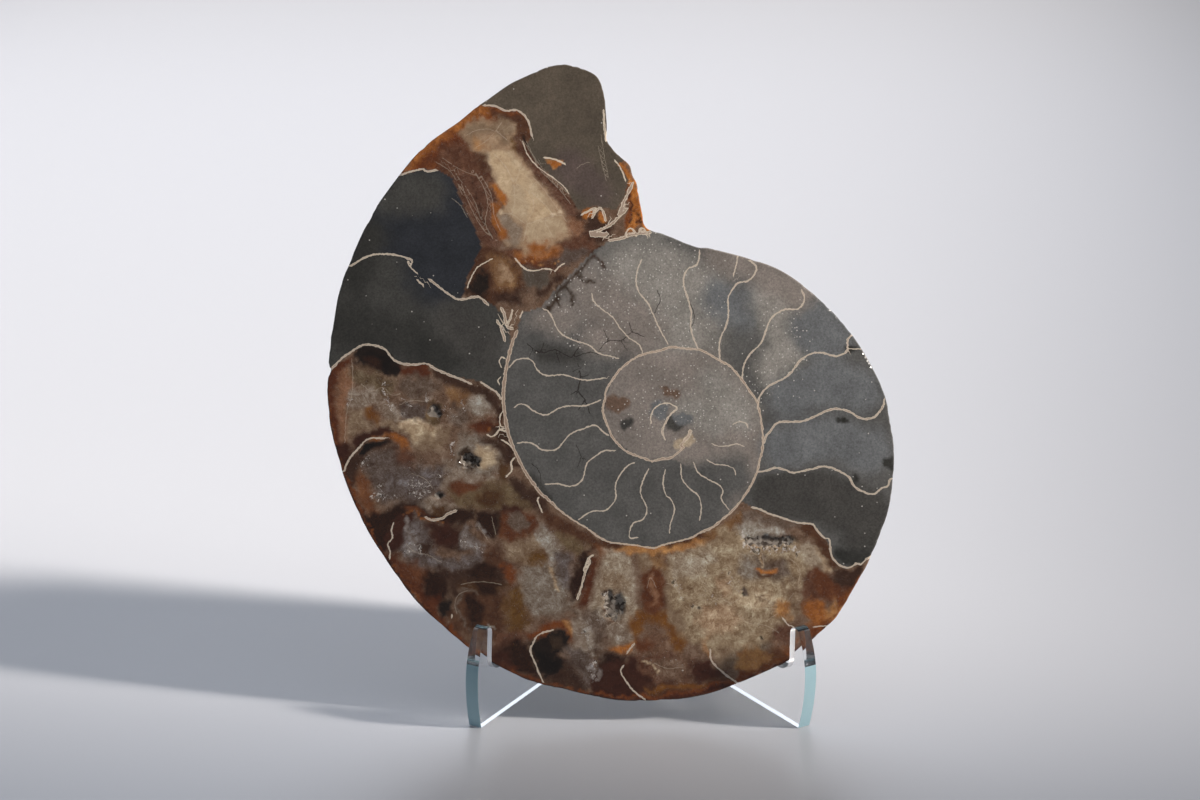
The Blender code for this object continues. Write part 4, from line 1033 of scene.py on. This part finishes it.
    ("pink_tan", 0.6, 3, [(522, 290), (536, 288), (536, 302), (524, 304)]),
    ("honey", 0.2, 1.2, [(547, 156), (569, 161), (557, 170)]),
]
CALCITE_STROKES = [
    ("dusk_tan", 1.8, 2, [(456, 612), (454, 600), (458, 591), (466, 588), (474, 591)]),
    ("dusk_tan", 1.4, 2, [(457, 610), (463, 622), (473, 632)]),
    ("soot", 4, 4, [(360, 347), (376, 344), (388, 349), (397, 358)]),
    ("copper", 0.8, 1.5, [(400, 513), (414, 511), (424, 515), (438, 519)]),
    ("orange", 1.6, 2, [(392, 176), (412, 159), (434, 141), (456, 125), (478, 108)]),
    ("rust", 1.0, 1.5, [(328, 384), (329, 410), (336, 444), (346, 476), (360, 508), (378, 544)]),
    ("rust", 1.2, 1.5, [(384, 556), (404, 582), (430, 612), (456, 636), (480, 654)]),
    ("rust", 1.2, 2, [(500, 666), (540, 682), (590, 694), (640, 698), (690, 694), (736, 682),
                      (786, 656), (830, 618), (858, 580)]),
    ("orange", 6, 4, [(634, 190), (639, 215), (634, 226)]),
    ("orange", 4, 3, [(620, 158), (628, 168), (636, 182), (642, 210), (648, 228)]),
    ("rust", 2, 2, [(628, 176), (632, 200), (630, 225)]),
    ("maroon", 0.8, 1, [(630, 190), (634, 208), (633, 224)]),
    ("maroon", 0.7, 1, [(637, 204), (641, 222)]),
    ("orange", 3, 1.5, [(586, 214), (593, 210)]), ("orange", 3, 2, [(602, 214), (606, 221)]),
    ("orange", 2.4, 1.5, [(554, 161), (558, 165), (562, 163)]),
    ("umber", 1.5, 3, [(560, 285), (585, 266), (600, 248)]),
    ("black", 1.2, 2, [(528, 138), (534, 148), (540, 156)]),
    ("umber", 0.7, 1, [(472, 176), (482, 194), (484, 214), (494, 232)]),
    ("umber", 0.7, 1, [(530, 150), (542, 168), (560, 186), (576, 206)]),
    ("honey", 0.5, 0.8, [(520, 258), (534, 263), (548, 264), (560, 258)]),
    ("bright_cream", 1.2, 1, [(504, 210), (508, 213)]),
    ("bright_cream", 1.4, 1, [(555, 214), (562, 213)]),
    ("mauve", 1.5, 2, [(404, 518), (408, 530), (414, 540)]),
    ("mauve", 1, 1.5, [(476, 524), (486, 538)]), ("olive_dark", 1.5, 1.5, [(497, 515), (493, 536)]),
    ("haze", 0.6, 0.7, [(487, 622), (492, 628)]),
    ("cream", 1.5, 2.5, [(545, 565), (556, 590)]), ("haze", 1.5, 2, [(533, 535), (548, 556)]),
    ("pale", 1.5, 2, [(574, 608), (580, 624), (586, 640)]),
    ("haze", 1.2, 2, [(582, 626), (584, 640), (588, 656)]),
    ("mauve", 1.5, 1.5, [(586, 664), (590, 676)]), ("mauve", 1.5, 1.5, [(594, 668), (596, 680)]),
    ("cream", 1, 1, [(761, 558), (762, 568)]),
    ("tan", 0.6, 1, [(778, 614), (764, 604), (752, 596)]),
    ("cream", 0.6, 0.8, [(640, 660), (652, 674)]),
    ("dusk", 1.5, 1.5, [(744, 594), (741, 590)]), ("soot", 1, 0.8, [(757, 639), (760, 640)]),
    ("soot", 1, 0.8, [(740, 595), (743, 598)]),
    ("maroon", 1, 1.2, [(380, 552), (411, 596), (445, 630), (472, 652), (505, 671), (561, 691),
                        (626, 702), (680, 700), (734, 687), (790, 662), (836, 621), (860, 582)]),
]
FLECKS = [
    (0.9, 4, [(382, 384), (386, 394), (392, 404)]), (0.9, 3, [(404, 398), (410, 402)]),
    (1.0, 3, [(427, 390), (428, 396)]), (0.9, 3, [(396, 408), (404, 412)]),
    (0.8, 4, [(352, 388), (350, 398)]), (0.8, 4, [(464, 400), (466, 410)]),
    (0.7, 5, [(445, 410), (452, 414)]), (0.9, 5, [(378, 482), (382, 490)]),
    (0.9, 6, [(374, 492), (392, 494)]), (0.8, 6, [(404, 480), (424, 484)]),
    (0.9, 5, [(410, 490), (436, 494)]), (0.9, 4, [(452, 444), (452, 456)]),
    (0.7, 5, [(410, 468), (414, 474)]), (0.8, 6, [(356, 462), (368, 456)]),
    (0.8, 5, [(430, 478), (446, 470)]), (0.7, 4, [(488, 466), (496, 470)]),
    (1.0, 5, [(404, 548), (414, 546), (417, 552)]), (0.9, 5, [(460, 532), (464, 544)]),
    (0.7, 5, [(426, 552), (446, 558)]), (0.8, 4, [(474, 546), (480, 550)]),
    (1.0, 6, [(604, 596), (612, 606), (608, 616)]), (0.8, 5, [(597, 606), (596, 620)]),
    (0.8, 6, [(582, 622), (586, 640), (586, 652)]), (0.9, 6, [(588, 664), (592, 678)]),
    (0.6, 9, [(540, 580), (556, 596)]), (0.6, 8, [(548, 534), (552, 552)]),
    (1.0, 7, [(740, 536), (746, 548), (756, 553)]), (0.9, 6, [(762, 548), (778, 552)]),
    (1.0, 6, [(782, 548), (796, 556)]), (0.9, 6, [(672, 586), (680, 596)]),
    (0.8, 5, [(684, 604), (692, 610)]), (0.7, 6, [(700, 594), (712, 600)]),
    (0.7, 7, [(726, 578), (736, 590)]), (0.6, 9, [(650, 664), (684, 670)]),
    (0.6, 7, [(606, 564), (612, 574)]), (0.6, 6, [(620, 574), (626, 592)]),
    (0.5, 10, [(790, 566), (800, 590)]), (0.5, 10, [(750, 620), (764, 632)]),
    (0.6, 4, [(572, 656), (584, 660)]), (0.7, 4, [(514, 522), (520, 526)]),
]
SPARKLES = [
    (1.0, 30, [(600, 290), (650, 290), (690, 320)]), (0.8, 24, [(640, 255), (700, 270)]),
    (0.8, 22, [(560, 310), (600, 340)]), (0.9, 24, [(640, 420), (670, 390), (720, 390)]),
    (1.0, 20, [(740, 400), (770, 375), (800, 345)]), (0.7, 16, [(690, 425), (740, 430)]),
    (0.5, 14, [(770, 310), (790, 330)]),
]


def linear(hex_code):
    """A linear colour with alpha from an sRGB hex code."""
    parts = [int(hex_code[i:i + 2], 16) / 255 for i in (0, 2, 4)]
    return (*(p / 12.92 if p <= 0.04045 else ((p + 0.055) / 1.055) ** 2.4 for p in parts), 1)


def add(tree, kind, inputs=None, **settings):
    """Adds a node with its settings, and its inputs as values or as other nodes' outputs."""
    made = tree.nodes.new("ShaderNode" + kind)
    for name, value in settings.items():
        setattr(made, name, value)
    for key, value in (inputs or {}).items():
        if isinstance(value, bpy.types.NodeSocket):
            tree.links.new(value, made.inputs[key])
        else:
            made.inputs[key].default_value = value
    return made.outputs


# Softness of a stain's edge against its own pixels, the shift that matches painted calcite to the
# lit one, and how far a line's width and its side are kept, in millimetres
EDGE_BLUR = 1.5
CALCITE_TINT = (1.04, 0.97, 0.88)
LINE_REACH = 1.1
SIDE_REACH = 2.6
NO_LINE = (FAR, 0.0, 0.0)
OPEN_VOID_DEPTH = 0.5


def brush(places, line, half, soft):
    """(which places, how fully) a stroke covers, for a half width and a softness in pixels."""
    line = on_face(line)
    half, soft = half * MM_PER_PIXEL, soft * MM_PER_PIXEL
    low, high = line.min(0) - half - soft, line.max(0) + half + soft
    close = np.flatnonzero(((places > low) & (places < high)).all(1))
    gap = np.abs(nearest_on(places[close], line)[0])
    cover = np.clip((half - gap) / soft + 0.5, 0, 1)
    return close, cover * cover * (3 - 2 * cover)


def patch(places, ring, soft, fray):
    """(which places, how fully) a stain's closed outline covers, with a soft and frayed edge."""
    ring = on_face(ring)
    soft = soft * EDGE_BLUR * MM_PER_PIXEL
    close = np.flatnonzero(((places > ring.min(0) - soft) & (places < ring.max(0) + soft)).all(1))
    gap = np.abs(nearest_on(places[close], ring, closed=True)[0])
    gap[within(places[close], ring)] *= -1
    cover = np.clip(0.5 - gap / soft / 2 + 0.3 * fray[close], 0, 1)
    return close, cover * cover * (3 - 2 * cover)


def lay_lines(places, lines):
    """For the nearest line within reach of each place: signed distance and half width, in mm."""
    laid = np.full((len(places), 3), NO_LINE)
    for half, through in lines:
        line = smooth_through(on_face(through), 3)
        close = np.flatnonzero(((places > line.min(0) - SIDE_REACH)
                                & (places < line.max(0) + SIDE_REACH)).all(1))
        far, share = nearest_on(places[close], line)
        nearer = np.abs(far) < np.minimum(np.abs(laid[close, 0]), SIDE_REACH)
        drawn = (share > 0) & (share < 1) & (np.abs(far) < LINE_REACH)
        laid[close[nearer], 0] = far[nearer]
        laid[close[nearer], 1] = np.where(drawn, half * MM_PER_PIXEL, 0)[nearer]
    return laid


def keep(name, kind, values):
    """Stores a value for each of the stone's points, for its material to read."""
    field = {"FLOAT": "value", "FLOAT_VECTOR": "vector", "FLOAT_COLOR": "color"}[kind]
    made = stone_mesh.attributes.new(name, kind, "POINT")
    made.data.foreach_set(field, np.ravel(values))


stain_colours = {name: np.array(linear(code)[:3]) for name, code in STAINS.items()}
ragged = face_places.copy()
fray = 0.6 * clouds(face_places, 1.4, 31) + 0.6 * clouds(face_places, 0.7, 33)
for reach, size, seed in ((0.6, 3.1, 11), (0.45, 1.3, 13), (0.3, 0.7, 15)):
    ragged += reach * np.stack(
        [clouds(face_places, size, seed), clouds(face_places, size, seed + 1)], axis=1)
colours = np.zeros((len(face_places), 3))
kinds = np.zeros((len(face_places), 3))
for ring, stain, kind in ZONES:
    inside = within(face_places, on_face(ring)) if ring else np.ones(len(face_places), bool)
    colours[inside] = stain_colours[stain]
    kinds[inside] = kind
in_calcite = kinds[:, 0] > 0.5
in_calcite |= within(face_places, on_face(TIP_FRAGMENT))
kinds[in_calcite, 0] = 1
for stain, grain, soft, ring in CALCITE_PATCHES:
    close, cover = patch(ragged, ring, soft, fray)
    cover = cover * in_calcite[close]
    colours[close] += (stain_colours[stain] - colours[close]) * cover[:, None]
    kinds[close, 2] += (grain - kinds[close, 2]) * cover
for strokes, allowed in ((SEDIMENT_STROKES, ~in_calcite), (CALCITE_STROKES, in_calcite)):
    for stain, half, soft, line in strokes:
        close, cover = brush(ragged, line, half, soft)
        cover = (cover * allowed[close])[:, None]
        colours[close] += (stain_colours[stain] - colours[close]) * cover
for column, strokes, allowed in ((1, FLECKS, in_calcite), (2, SPARKLES, ~in_calcite)):
    for amount, half, line in strokes:
        close, cover = brush(ragged, line, half, half)
        kinds[close, column] = np.maximum(kinds[close, column], amount * cover * allowed[close])

on_front = np.arange(len(face_places)) < edge_count + front_count
layers = {"walls": SPIRAL_WALL, "septa": CHAMBER_WALLS, "fragments": WALL_FRAGMENTS,
          "hairs": HAIRS, "cracks": CRACKS}
for name, lines in layers.items():
    laid = lay_lines(face_places, lines)
    laid[~on_front] = NO_LINE
    keep(name, "FLOAT_VECTOR", laid)
keep("kinds", "FLOAT_VECTOR", kinds)
colours[in_calcite] *= CALCITE_TINT
sunk = np.zeros(len(face_places))
sunk[edge_count:edge_count + front_count] = void_depth(front) / OPEN_VOID_DEPTH
keep("voids", "FLOAT", np.clip(sunk, 0, 1))
radius, part = turn_of(face_places)
keep("coil", "FLOAT_VECTOR", np.column_stack([part, radius / edge_radius(part), ~on_front]))
keep("stains", "FLOAT_COLOR", np.column_stack([colours, np.ones(len(colours))]))


# The stone: its polish
# Calcite and hardened mud, ground flat and polished wet. Calcite shows grains of about a
# millimetre with their own cleavage and fine white flecks, and the mud a fine dark grain with
# sparkling specks. The polish is bright but not a mirror, and the open voids stay rough.

SUTURES_PER_TURN = 26

stone_finish = bpy.data.materials.new("polished_calcite_and_mudstone")
stone_finish.use_nodes = True
tree = stone_finish.node_tree
shader = tree.nodes["Principled BSDF"]

place = add(tree, "Mapping", {
    "Vector": add(tree, "TexCoord")["Object"],
    "Rotation": (FACE_LEAN, 0, 0),
    "Scale": (1 / MM, 1 / MM, 1 / MM),
})["Vector"]
kinds_of = add(tree, "SeparateXYZ", {0: add(tree, "Attribute", attribute_name="kinds")["Vector"]})
crystal, fleck, sparkle = kinds_of["X"], kinds_of["Y"], kinds_of["Z"]
stain = add(tree, "Attribute", attribute_name="stains")["Color"]


def times(tree, colour, factor):
    """A colour made lighter or darker by a number from a pattern."""
    grey = add(tree, "CombineXYZ", {0: factor, 1: factor, 2: factor})[0]
    return add(tree, "VectorMath", {0: colour, 1: grey}, operation="MULTIPLY")[0]


def spread(tree, value, low, high, to_low, to_high, kind="LINEAR"):
    """A value moved from one range to another, and held inside it."""
    return add(tree, "MapRange", {"Value": value, "From Min": low, "From Max": high,
                                  "To Min": to_low, "To Max": to_high},
               interpolation_type=kind)["Result"]


# Calcite: iron stain lies in it unevenly, in clouds, along needles and by the grain. Where there
# is more of it, it takes away blue and green first, so the stone goes darker and redder.
swirl = add(tree, "TexNoise", {"Vector": place, "Scale": 0.5, "Detail": 4.0,
                               "Roughness": 0.6})["Color"]
bent = add(tree, "VectorMath", {0: swirl, 1: (2.4, 2.4, 2.4), 2: place},
           operation="MULTIPLY_ADD")[0]
grains = add(tree, "TexVoronoi", {"Vector": bent, "Scale": 0.8})
grain_tone = add(tree, "SeparateXYZ", {0: grains["Color"]})
streak_turn = add(tree, "Math", {0: grain_tone["Y"], 1: math.pi}, operation="MULTIPLY")[0]
turned = add(tree, "VectorRotate", {"Vector": place, "Angle": streak_turn},
             rotation_type="Y_AXIS")[0]
stretched = add(tree, "Mapping", {"Vector": turned, "Scale": (0.7, 1, 3.4)})[0]
streaks = add(tree, "TexNoise", {"Vector": stretched, "Scale": 1.1, "Detail": 4.0,
                                 "Roughness": 0.65})["Fac"]
mottle = add(tree, "TexNoise", {"Vector": bent, "Scale": 0.4, "Detail": 6.0,
                                "Roughness": 0.6})["Fac"]
fine = add(tree, "TexNoise", {"Vector": bent, "Scale": 1.3, "Detail": 5.0,
                              "Roughness": 0.72})["Fac"]
uneven = add(tree, "Math", {0: mottle, 1: 4.2, 2: -5.45}, operation="MULTIPLY_ADD")[0]
uneven = add(tree, "Math", {0: streaks, 1: 3.0, 2: uneven}, operation="MULTIPLY_ADD")[0]
uneven = add(tree, "Math", {0: fine, 1: 3.0, 2: uneven}, operation="MULTIPLY_ADD")[0]
uneven = add(tree, "Math", {0: grain_tone["X"], 1: 0.7, 2: uneven}, operation="MULTIPLY_ADD")[0]
uneven = add(tree, "Math", {0: uneven, 1: spread(tree, sparkle, 0, 1, 0.3, 1.25)},
             operation="MULTIPLY")[0]
taken = []
for share in (-0.45, -0.58, -0.68):
    power = add(tree, "Math", {0: uneven, 1: share}, operation="MULTIPLY")[0]
    taken.append(add(tree, "Math", {0: power}, operation="EXPONENT")[0])
filter_colour = add(tree, "CombineXYZ", {0: taken[0], 1: taken[1], 2: taken[2]})[0]
calcite = add(tree, "VectorMath", {0: stain, 1: filter_colour}, operation="MULTIPLY")[0]

# Calcite that iron stains nearly black shows little white
stain_green = add(tree, "SeparateXYZ", {0: stain})["Y"]
white_shows = spread(tree, stain_green, 0.008, 0.06, 0.1, 1.0)

# Cleavage: hair-thin pale and dark lines between the grains
hairs = add(tree, "TexNoise", {"Vector": stretched, "Scale": 0.7, "Detail": 3.0,
                               "Roughness": 0.55})["Fac"]
for middle, tone, most in ((0.5, "d2c7ba", 0.34), (0.6, "241812", 0.4)):
    ridge = add(tree, "Math", {0: hairs, 1: middle}, operation="SUBTRACT")[0]
    ridge = add(tree, "Math", {0: ridge}, operation="ABSOLUTE")[0]
    hair = spread(tree, ridge, 0.002, 0.012, most, 0.0)
    hair = add(tree, "Math", {0: hair, 1: spread(tree, fine, 0.45, 0.6, 0.0, 1.0)},
               operation="MULTIPLY")[0]
    hair = add(tree, "Math", {0: hair, 1: white_shows}, operation="MULTIPLY")[0]
    calcite = add(tree, "Mix", {0: hair, 6: calcite, 7: linear(tone)}, data_type="RGBA")[2]

# Open cleavage and small voids: painted shade, dark spots laid on the flat face where the hollows
# would be, with white crystal along their broken edges
hollow_noise = add(tree, "TexNoise", {"Vector": bent, "Scale": 0.75, "Detail": 5.0,
                                      "Roughness": 0.62})["Fac"]
hollow_from = spread(tree, fleck, 0, 1, 0.8, 0.56)
hollow_gap = add(tree, "Math", {0: hollow_noise, 1: hollow_from}, operation="SUBTRACT")[0]
hollow_shade = spread(tree, hollow_gap, 0.0, 0.02, 0.0, 0.75)
calcite = add(tree, "Mix", {0: hollow_shade, 6: calcite, 7: linear("3b332d")}, data_type="RGBA")[2]
rim_gap = add(tree, "Math", {0: hollow_gap, 1: -0.012}, operation="SUBTRACT")[0]
rim_gap = add(tree, "Math", {0: rim_gap}, operation="ABSOLUTE")[0]
rim_break = spread(tree, streaks, 0.42, 0.56, 0.0, 1.0)
white = spread(tree, rim_gap, 0.0, 0.016, 1.0, 0.0)
white = add(tree, "Math", {0: white, 1: rim_break}, operation="MULTIPLY")[0]
frost_from = spread(tree, fleck, 0, 1, 0.8, 0.53)
frost_gap = add(tree, "Math", {0: fine, 1: frost_from}, operation="SUBTRACT")[0]
white = add(tree, "Math", {0: white, 1: spread(tree, frost_gap, 0.0, 0.03, 0.0, 0.9)},
            operation="MAXIMUM")[0]
white = add(tree, "Math", {0: white, 1: spread(tree, fleck, 0.05, 0.5, 0.0, 0.9)},
            operation="MULTIPLY")[0]
white = add(tree, "Math", {0: white, 1: white_shows}, operation="MULTIPLY")[0]
calcite = add(tree, "Mix", {0: white, 6: calcite, 7: linear("d4cdc6")}, data_type="RGBA")[2]

# The open voids: rough, with a jagged edge. Painted shade and light: their hollows are painted
# dark, and their grey crystal faces one by one lighter or darker as if each caught the lamp
void = add(tree, "Attribute", attribute_name="voids")["Fac"]
void = add(tree, "Math", {0: fine, 1: 1.6, 2: void}, operation="MULTIPLY_ADD")[0]
void = spread(tree, void, 1.2, 1.28, 0.0, 1.0)
facet = add(tree, "TexVoronoi", {"Vector": place, "Scale": 1.3})
facet_tone = add(tree, "SeparateXYZ", {0: facet["Color"]})
facet_light = spread(tree, facet_tone["X"], 0.2, 1.0, 0.0, 0.9)
void_shade_and_facet_light = add(tree, "Mix", {0: facet_light, 6: linear("41362d"), 7: linear("a1988e")},
                  data_type="RGBA")[2]
calcite = add(tree, "Mix", {0: void, 6: calcite, 7: void_shade_and_facet_light}, data_type="RGBA")[2]

# Mud: grain of about 0.4 mm, soft mottling, and pale specks that sparkle
grit = add(tree, "TexNoise", {"Vector": place, "Scale": 2.6, "Detail": 3.0,
                              "Roughness": 0.7})["Fac"]
patches = add(tree, "TexNoise", {"Vector": place, "Scale": 0.16, "Detail": 5.0,
                                 "Roughness": 0.6})["Fac"]
mud = times(tree, stain, spread(tree, grit, 0.3, 0.7, 0.72, 1.3))
mud = times(tree, mud, spread(tree, patches, 0.35, 0.65, 0.84, 1.16))
specks = add(tree, "TexVoronoi", {"Vector": place, "Scale": 1.5})
speck_tone = add(tree, "SeparateXYZ", {0: specks["Color"]})
speck_rare = spread(tree, sparkle, 0, 1, 0.015, 0.55)
speck_here = add(tree, "Math", {0: speck_tone["X"], 1: speck_rare}, operation="LESS_THAN")[0]
speck_size = spread(tree, speck_tone["Y"], 0, 1, 0.12, 0.34)
speck_gap = add(tree, "Math", {0: specks["Distance"], 1: speck_size}, operation="SUBTRACT")[0]
speck_core = spread(tree, speck_gap, -0.08, 0.03, 0.9, 0.0)
speck = add(tree, "Math", {0: speck_here, 1: speck_core}, operation="MULTIPLY")[0]
mud = add(tree, "Mix", {0: speck, 6: mud, 7: linear("cbc7c1")}, data_type="RGBA")[2]

cut_colour = add(tree, "Mix", {0: crystal, 6: mud, 7: calcite}, data_type="RGBA")[2]

# Cracks are dark and hair lines, fragments and walls pale: thin, and slightly uneven in width
# and course. Each kind lies over the ones before it.
wobble = add(tree, "TexNoise", {"Vector": place, "Scale": 1.7, "Detail": 2.0})["Fac"]
wobble = spread(tree, wobble, 0.3, 0.7, -0.09, 0.09)
swell = add(tree, "TexNoise", {"Vector": place, "Scale": 0.9, "Detail": 2.0})["Fac"]
swell = spread(tree, swell, 0.3, 0.7, 0.5, 0.95)
for name, tone, most in (("cracks", "231d19", 0.8), ("hairs", "cdbfab", 0.34),
                         ("septa", "d2c5b4", 0.95), ("fragments", "ddd0bd", 0.95),
                         ("walls", "d2c1ae", 0.95)):
    laid = add(tree, "SeparateXYZ", {0: add(tree, "Attribute", attribute_name=name)["Vector"]})
    off = add(tree, "Math", {0: laid["X"], 1: wobble}, operation="ADD")[0]
    off = add(tree, "Math", {0: off}, operation="ABSOLUTE")[0]
    half = add(tree, "Math", {0: laid["Y"], 1: swell}, operation="MULTIPLY")[0]
    inside = add(tree, "Math", {0: half, 1: off}, operation="SUBTRACT")[0]
    line = spread(tree, inside, -0.05, 0.05, 0.0, most, "SMOOTHSTEP")
    here = add(tree, "Math", {0: laid["Y"], 1: 0.06}, operation="GREATER_THAN")[0]
    line = add(tree, "Math", {0: line, 1: here}, operation="MULTIPLY")[0]
    core = spread(tree, inside, 0.12, 0.24, 0.0, 0.7)
    wall = add(tree, "Mix", {0: core, 6: linear(tone), 7: linear("8a6f5f")}, data_type="RGBA")[2]
    cut_colour = add(tree, "Mix", {0: line, 6: cut_colour, 7: wall}, data_type="RGBA")[2]

# The back: the shell itself, amber and olive under a pearly skin, dark where it is thin. The
# frilled edges of the chamber walls show through it as fine dark lines.
coil = add(tree, "SeparateXYZ", {0: add(tree, "Attribute", attribute_name="coil")["Vector"]})
tint = add(tree, "TexNoise", {"Vector": place, "Scale": 0.055, "Detail": 5.0,
                              "Roughness": 0.6})["Fac"]
blotch = add(tree, "TexNoise", {"Vector": bent, "Scale": 0.14, "Detail": 6.0,
                                "Roughness": 0.65})["Fac"]
shell = add(tree, "Mix", {0: spread(tree, tint, 0.38, 0.62, 0, 1), 6: linear("5e3d22"),
                          7: linear("8d7753")}, data_type="RGBA")[2]
shell = add(tree, "Mix", {0: spread(tree, blotch, 0.5, 0.68, 0, 0.8), 6: shell,
                          7: linear("a8937a")}, data_type="RGBA")[2]
shell = add(tree, "Mix", {0: spread(tree, blotch, 0.46, 0.3, 0, 0.85), 6: shell,
                          7: linear("35241a")}, data_type="RGBA")[2]
shell = times(tree, shell, spread(tree, grit, 0.3, 0.7, 0.86, 1.14))
phase = add(tree, "Math", {0: coil["X"], 1: SUTURES_PER_TURN}, operation="MULTIPLY")[0]
for waves, swing in ((3.2, 0.26), (9.5, 0.13), (23.0, 0.06)):
    wave = add(tree, "Math", {0: coil["Y"], 1: waves * math.tau}, operation="MULTIPLY")[0]
    wave = add(tree, "Math", {0: wave}, operation="SINE")[0]
    phase = add(tree, "Math", {0: wave, 1: swing, 2: phase}, operation="MULTIPLY_ADD")[0]
phase = add(tree, "Math", {0: fine, 1: 0.16, 2: phase}, operation="MULTIPLY_ADD")[0]
suture = add(tree, "Math", {0: phase}, operation="FRACT")[0]
suture = add(tree, "Math", {0: suture, 1: 0.5}, operation="SUBTRACT")[0]
suture = add(tree, "Math", {0: suture}, operation="ABSOLUTE")[0]
suture = spread(tree, suture, 0.02, 0.05, 0.75, 0.0)
shell = add(tree, "Mix", {0: suture, 6: shell, 7: linear("2c1c12")}, data_type="RGBA")[2]
surface = add(tree, "Mix", {0: coil["Z"], 6: cut_colour, 7: shell}, data_type="RGBA")[2]
tree.links.new(surface, shader.inputs["Base Color"])
tree.links.new(spread(tree, void, 0, 1, 0.2, 0.8), shader.inputs["Roughness"])
stone_mesh.materials.append(stone_finish)
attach(stone, "root")
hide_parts("ammonite_half")


# The easel
# One sheet of clear 3 mm acrylic, sawn to its outline and bent hot into a V. Its faces are
# polished, and the front edges of its feet and the top edges of its wings stay satin. Nothing
# fixes the fossil to it.

EDGE_SOFTENING = 0.0003
FOOT_REGION = -0.012
LIP_FROM = 0.0148
SHEET_CAST = (0.3, 0.72, 0.84, 1)
SHEET_CAST_DENSITY = 6.0

packed_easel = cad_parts["stand"]
easel = packed_easel.copy()
easel.data = packed_easel.data.copy()
easel.name = "acrylic_easel"
easel.data.name = "acrylic_easel"
bpy.context.scene.collection.objects.link(easel)
bpy.ops.object.select_all(action="DESELECT")
easel.select_set(True)
bpy.context.view_layer.objects.active = easel
bpy.ops.object.mode_set(mode="EDIT")
bpy.ops.mesh.select_all(action="SELECT")
bpy.ops.mesh.remove_doubles(threshold=0.00001)
bpy.ops.mesh.tris_convert_to_quads(
    face_threshold=math.radians(1), shape_threshold=math.radians(180))
bpy.ops.mesh.normals_make_consistent(inside=False)
bpy.ops.object.mode_set(mode="OBJECT")
softened = easel.modifiers.new("softened_edges", "BEVEL")
softened.width = EDGE_SOFTENING
softened.segments = 2
softened.limit_method = "ANGLE"
softened.angle_limit = math.radians(35)
softened.use_clamp_overlap = True
bpy.ops.object.modifier_apply(modifier="softened_edges")
bpy.ops.object.shade_smooth_by_angle(angle=math.radians(50))
flat_sides = easel.modifiers.new("flat_sides", "WEIGHTED_NORMAL")
flat_sides.mode = "FACE_AREA"
flat_sides.weight = 100
flat_sides.keep_sharp = True
bpy.ops.object.modifier_apply(modifier="flat_sides")

# Cast acrylic with polished faces is clear, with the faint blue-green cast of a thick sheet.
# The sawn edges are scraped and left satin, so they scatter light and gather the sheet's colour.
clear = {"Base Color": (1, 1, 1, 1), "Transmission Weight": 1.0, "IOR": 1.49, "Roughness": 0.02}
satin = {"Base Color": linear("b6dce8"), "Transmission Weight": 0.3, "IOR": 1.49,
         "Roughness": 0.3}
easel.data.materials.clear()
for name, values in (("clear_cast_acrylic", clear), ("satin_acrylic_edge", satin)):
    acrylic = bpy.data.materials.new(name)
    acrylic.use_nodes = True
    for socket, value in values.items():
        acrylic.node_tree.nodes["Principled BSDF"].inputs[socket].default_value = value
    cast = add(acrylic.node_tree, "VolumeAbsorption",
               {"Color": SHEET_CAST, "Density": SHEET_CAST_DENSITY})
    acrylic.node_tree.links.new(
        cast[0], acrylic.node_tree.nodes["Material Output"].inputs["Volume"])
    easel.data.materials.append(acrylic)
for face in easel.data.polygons:
    in_foot = face.center.y < FOOT_REGION
    front_edge = in_foot and face.normal.y < -0.7 and face.center.z < LIP_FROM
    face.material_index = int(front_edge or (not in_foot and face.normal.z > 0.1))
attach(easel, "root")
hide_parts("stand")


# The floor and the light
# A pale satin floor. The key is a wide lamp at the right behind a grid, so its pool ends beside
# the stone and the near floor falls dark. A soft lamp behind and a weak one overhead fill in, and
# the side of the camera stays dim, so the polish shows no glare.

FLOOR_SIZE = 12
# Air under the easel, without which the acrylic's underside would merge with the floor
FLOOR_GAP = 0.0001
bpy.ops.object.select_all(action="DESELECT")
bpy.ops.mesh.primitive_plane_add(size=FLOOR_SIZE, location=(0, FLOOR_SIZE / 4, -FLOOR_GAP))
floor = bpy.context.object
floor.name = "floor"
pale = bpy.data.materials.new("satin_floor")
pale.use_nodes = True
shader = pale.node_tree.nodes["Principled BSDF"]
shader.inputs["Base Color"].default_value = linear("b9bbc1")
shader.inputs["Roughness"].default_value = 0.32
floor.data.materials.append(pale)


def softbox(name, place, aim, size, watts, tint, spread_degrees):
    """A soft rectangular lamp that looks at a point."""
    lamp = bpy.data.lights.new(name, "AREA")
    lamp.shape = "RECTANGLE"
    lamp.size, lamp.size_y = size
    lamp.energy = watts
    lamp.spread = math.radians(spread_degrees)
    lamp.color = linear(tint)[:3]
    made = bpy.data.objects.new(name, lamp)
    made.location = place
    made.rotation_euler = (Vector(aim) - Vector(place)).to_track_quat("-Z", "Y").to_euler()
    bpy.context.scene.collection.objects.link(made)


softbox("key_from_right", (1.1, 0.49, 0.69), (0, 0.74, 0.05), (1.5, 0.4), 4.9, "fff6ec", 12)
softbox("back_and_above", (-0.3, 0.95, 0.7), (-0.3, 0.5, 0), (1.2, 0.7), 2.2, "eef4ff", 80)
softbox("top_fill", (0, 0.05, 1.2), (0, 0.1, 0), (1.0, 1.0), 1.2, "f2f6ff", 180)
world = bpy.data.worlds.new("studio")
bpy.context.scene.world = world
world.use_nodes = True
world.node_tree.nodes["Background"].inputs["Color"].default_value = linear("dfe4ec")
world.node_tree.nodes["Background"].inputs["Strength"].default_value = 0.26
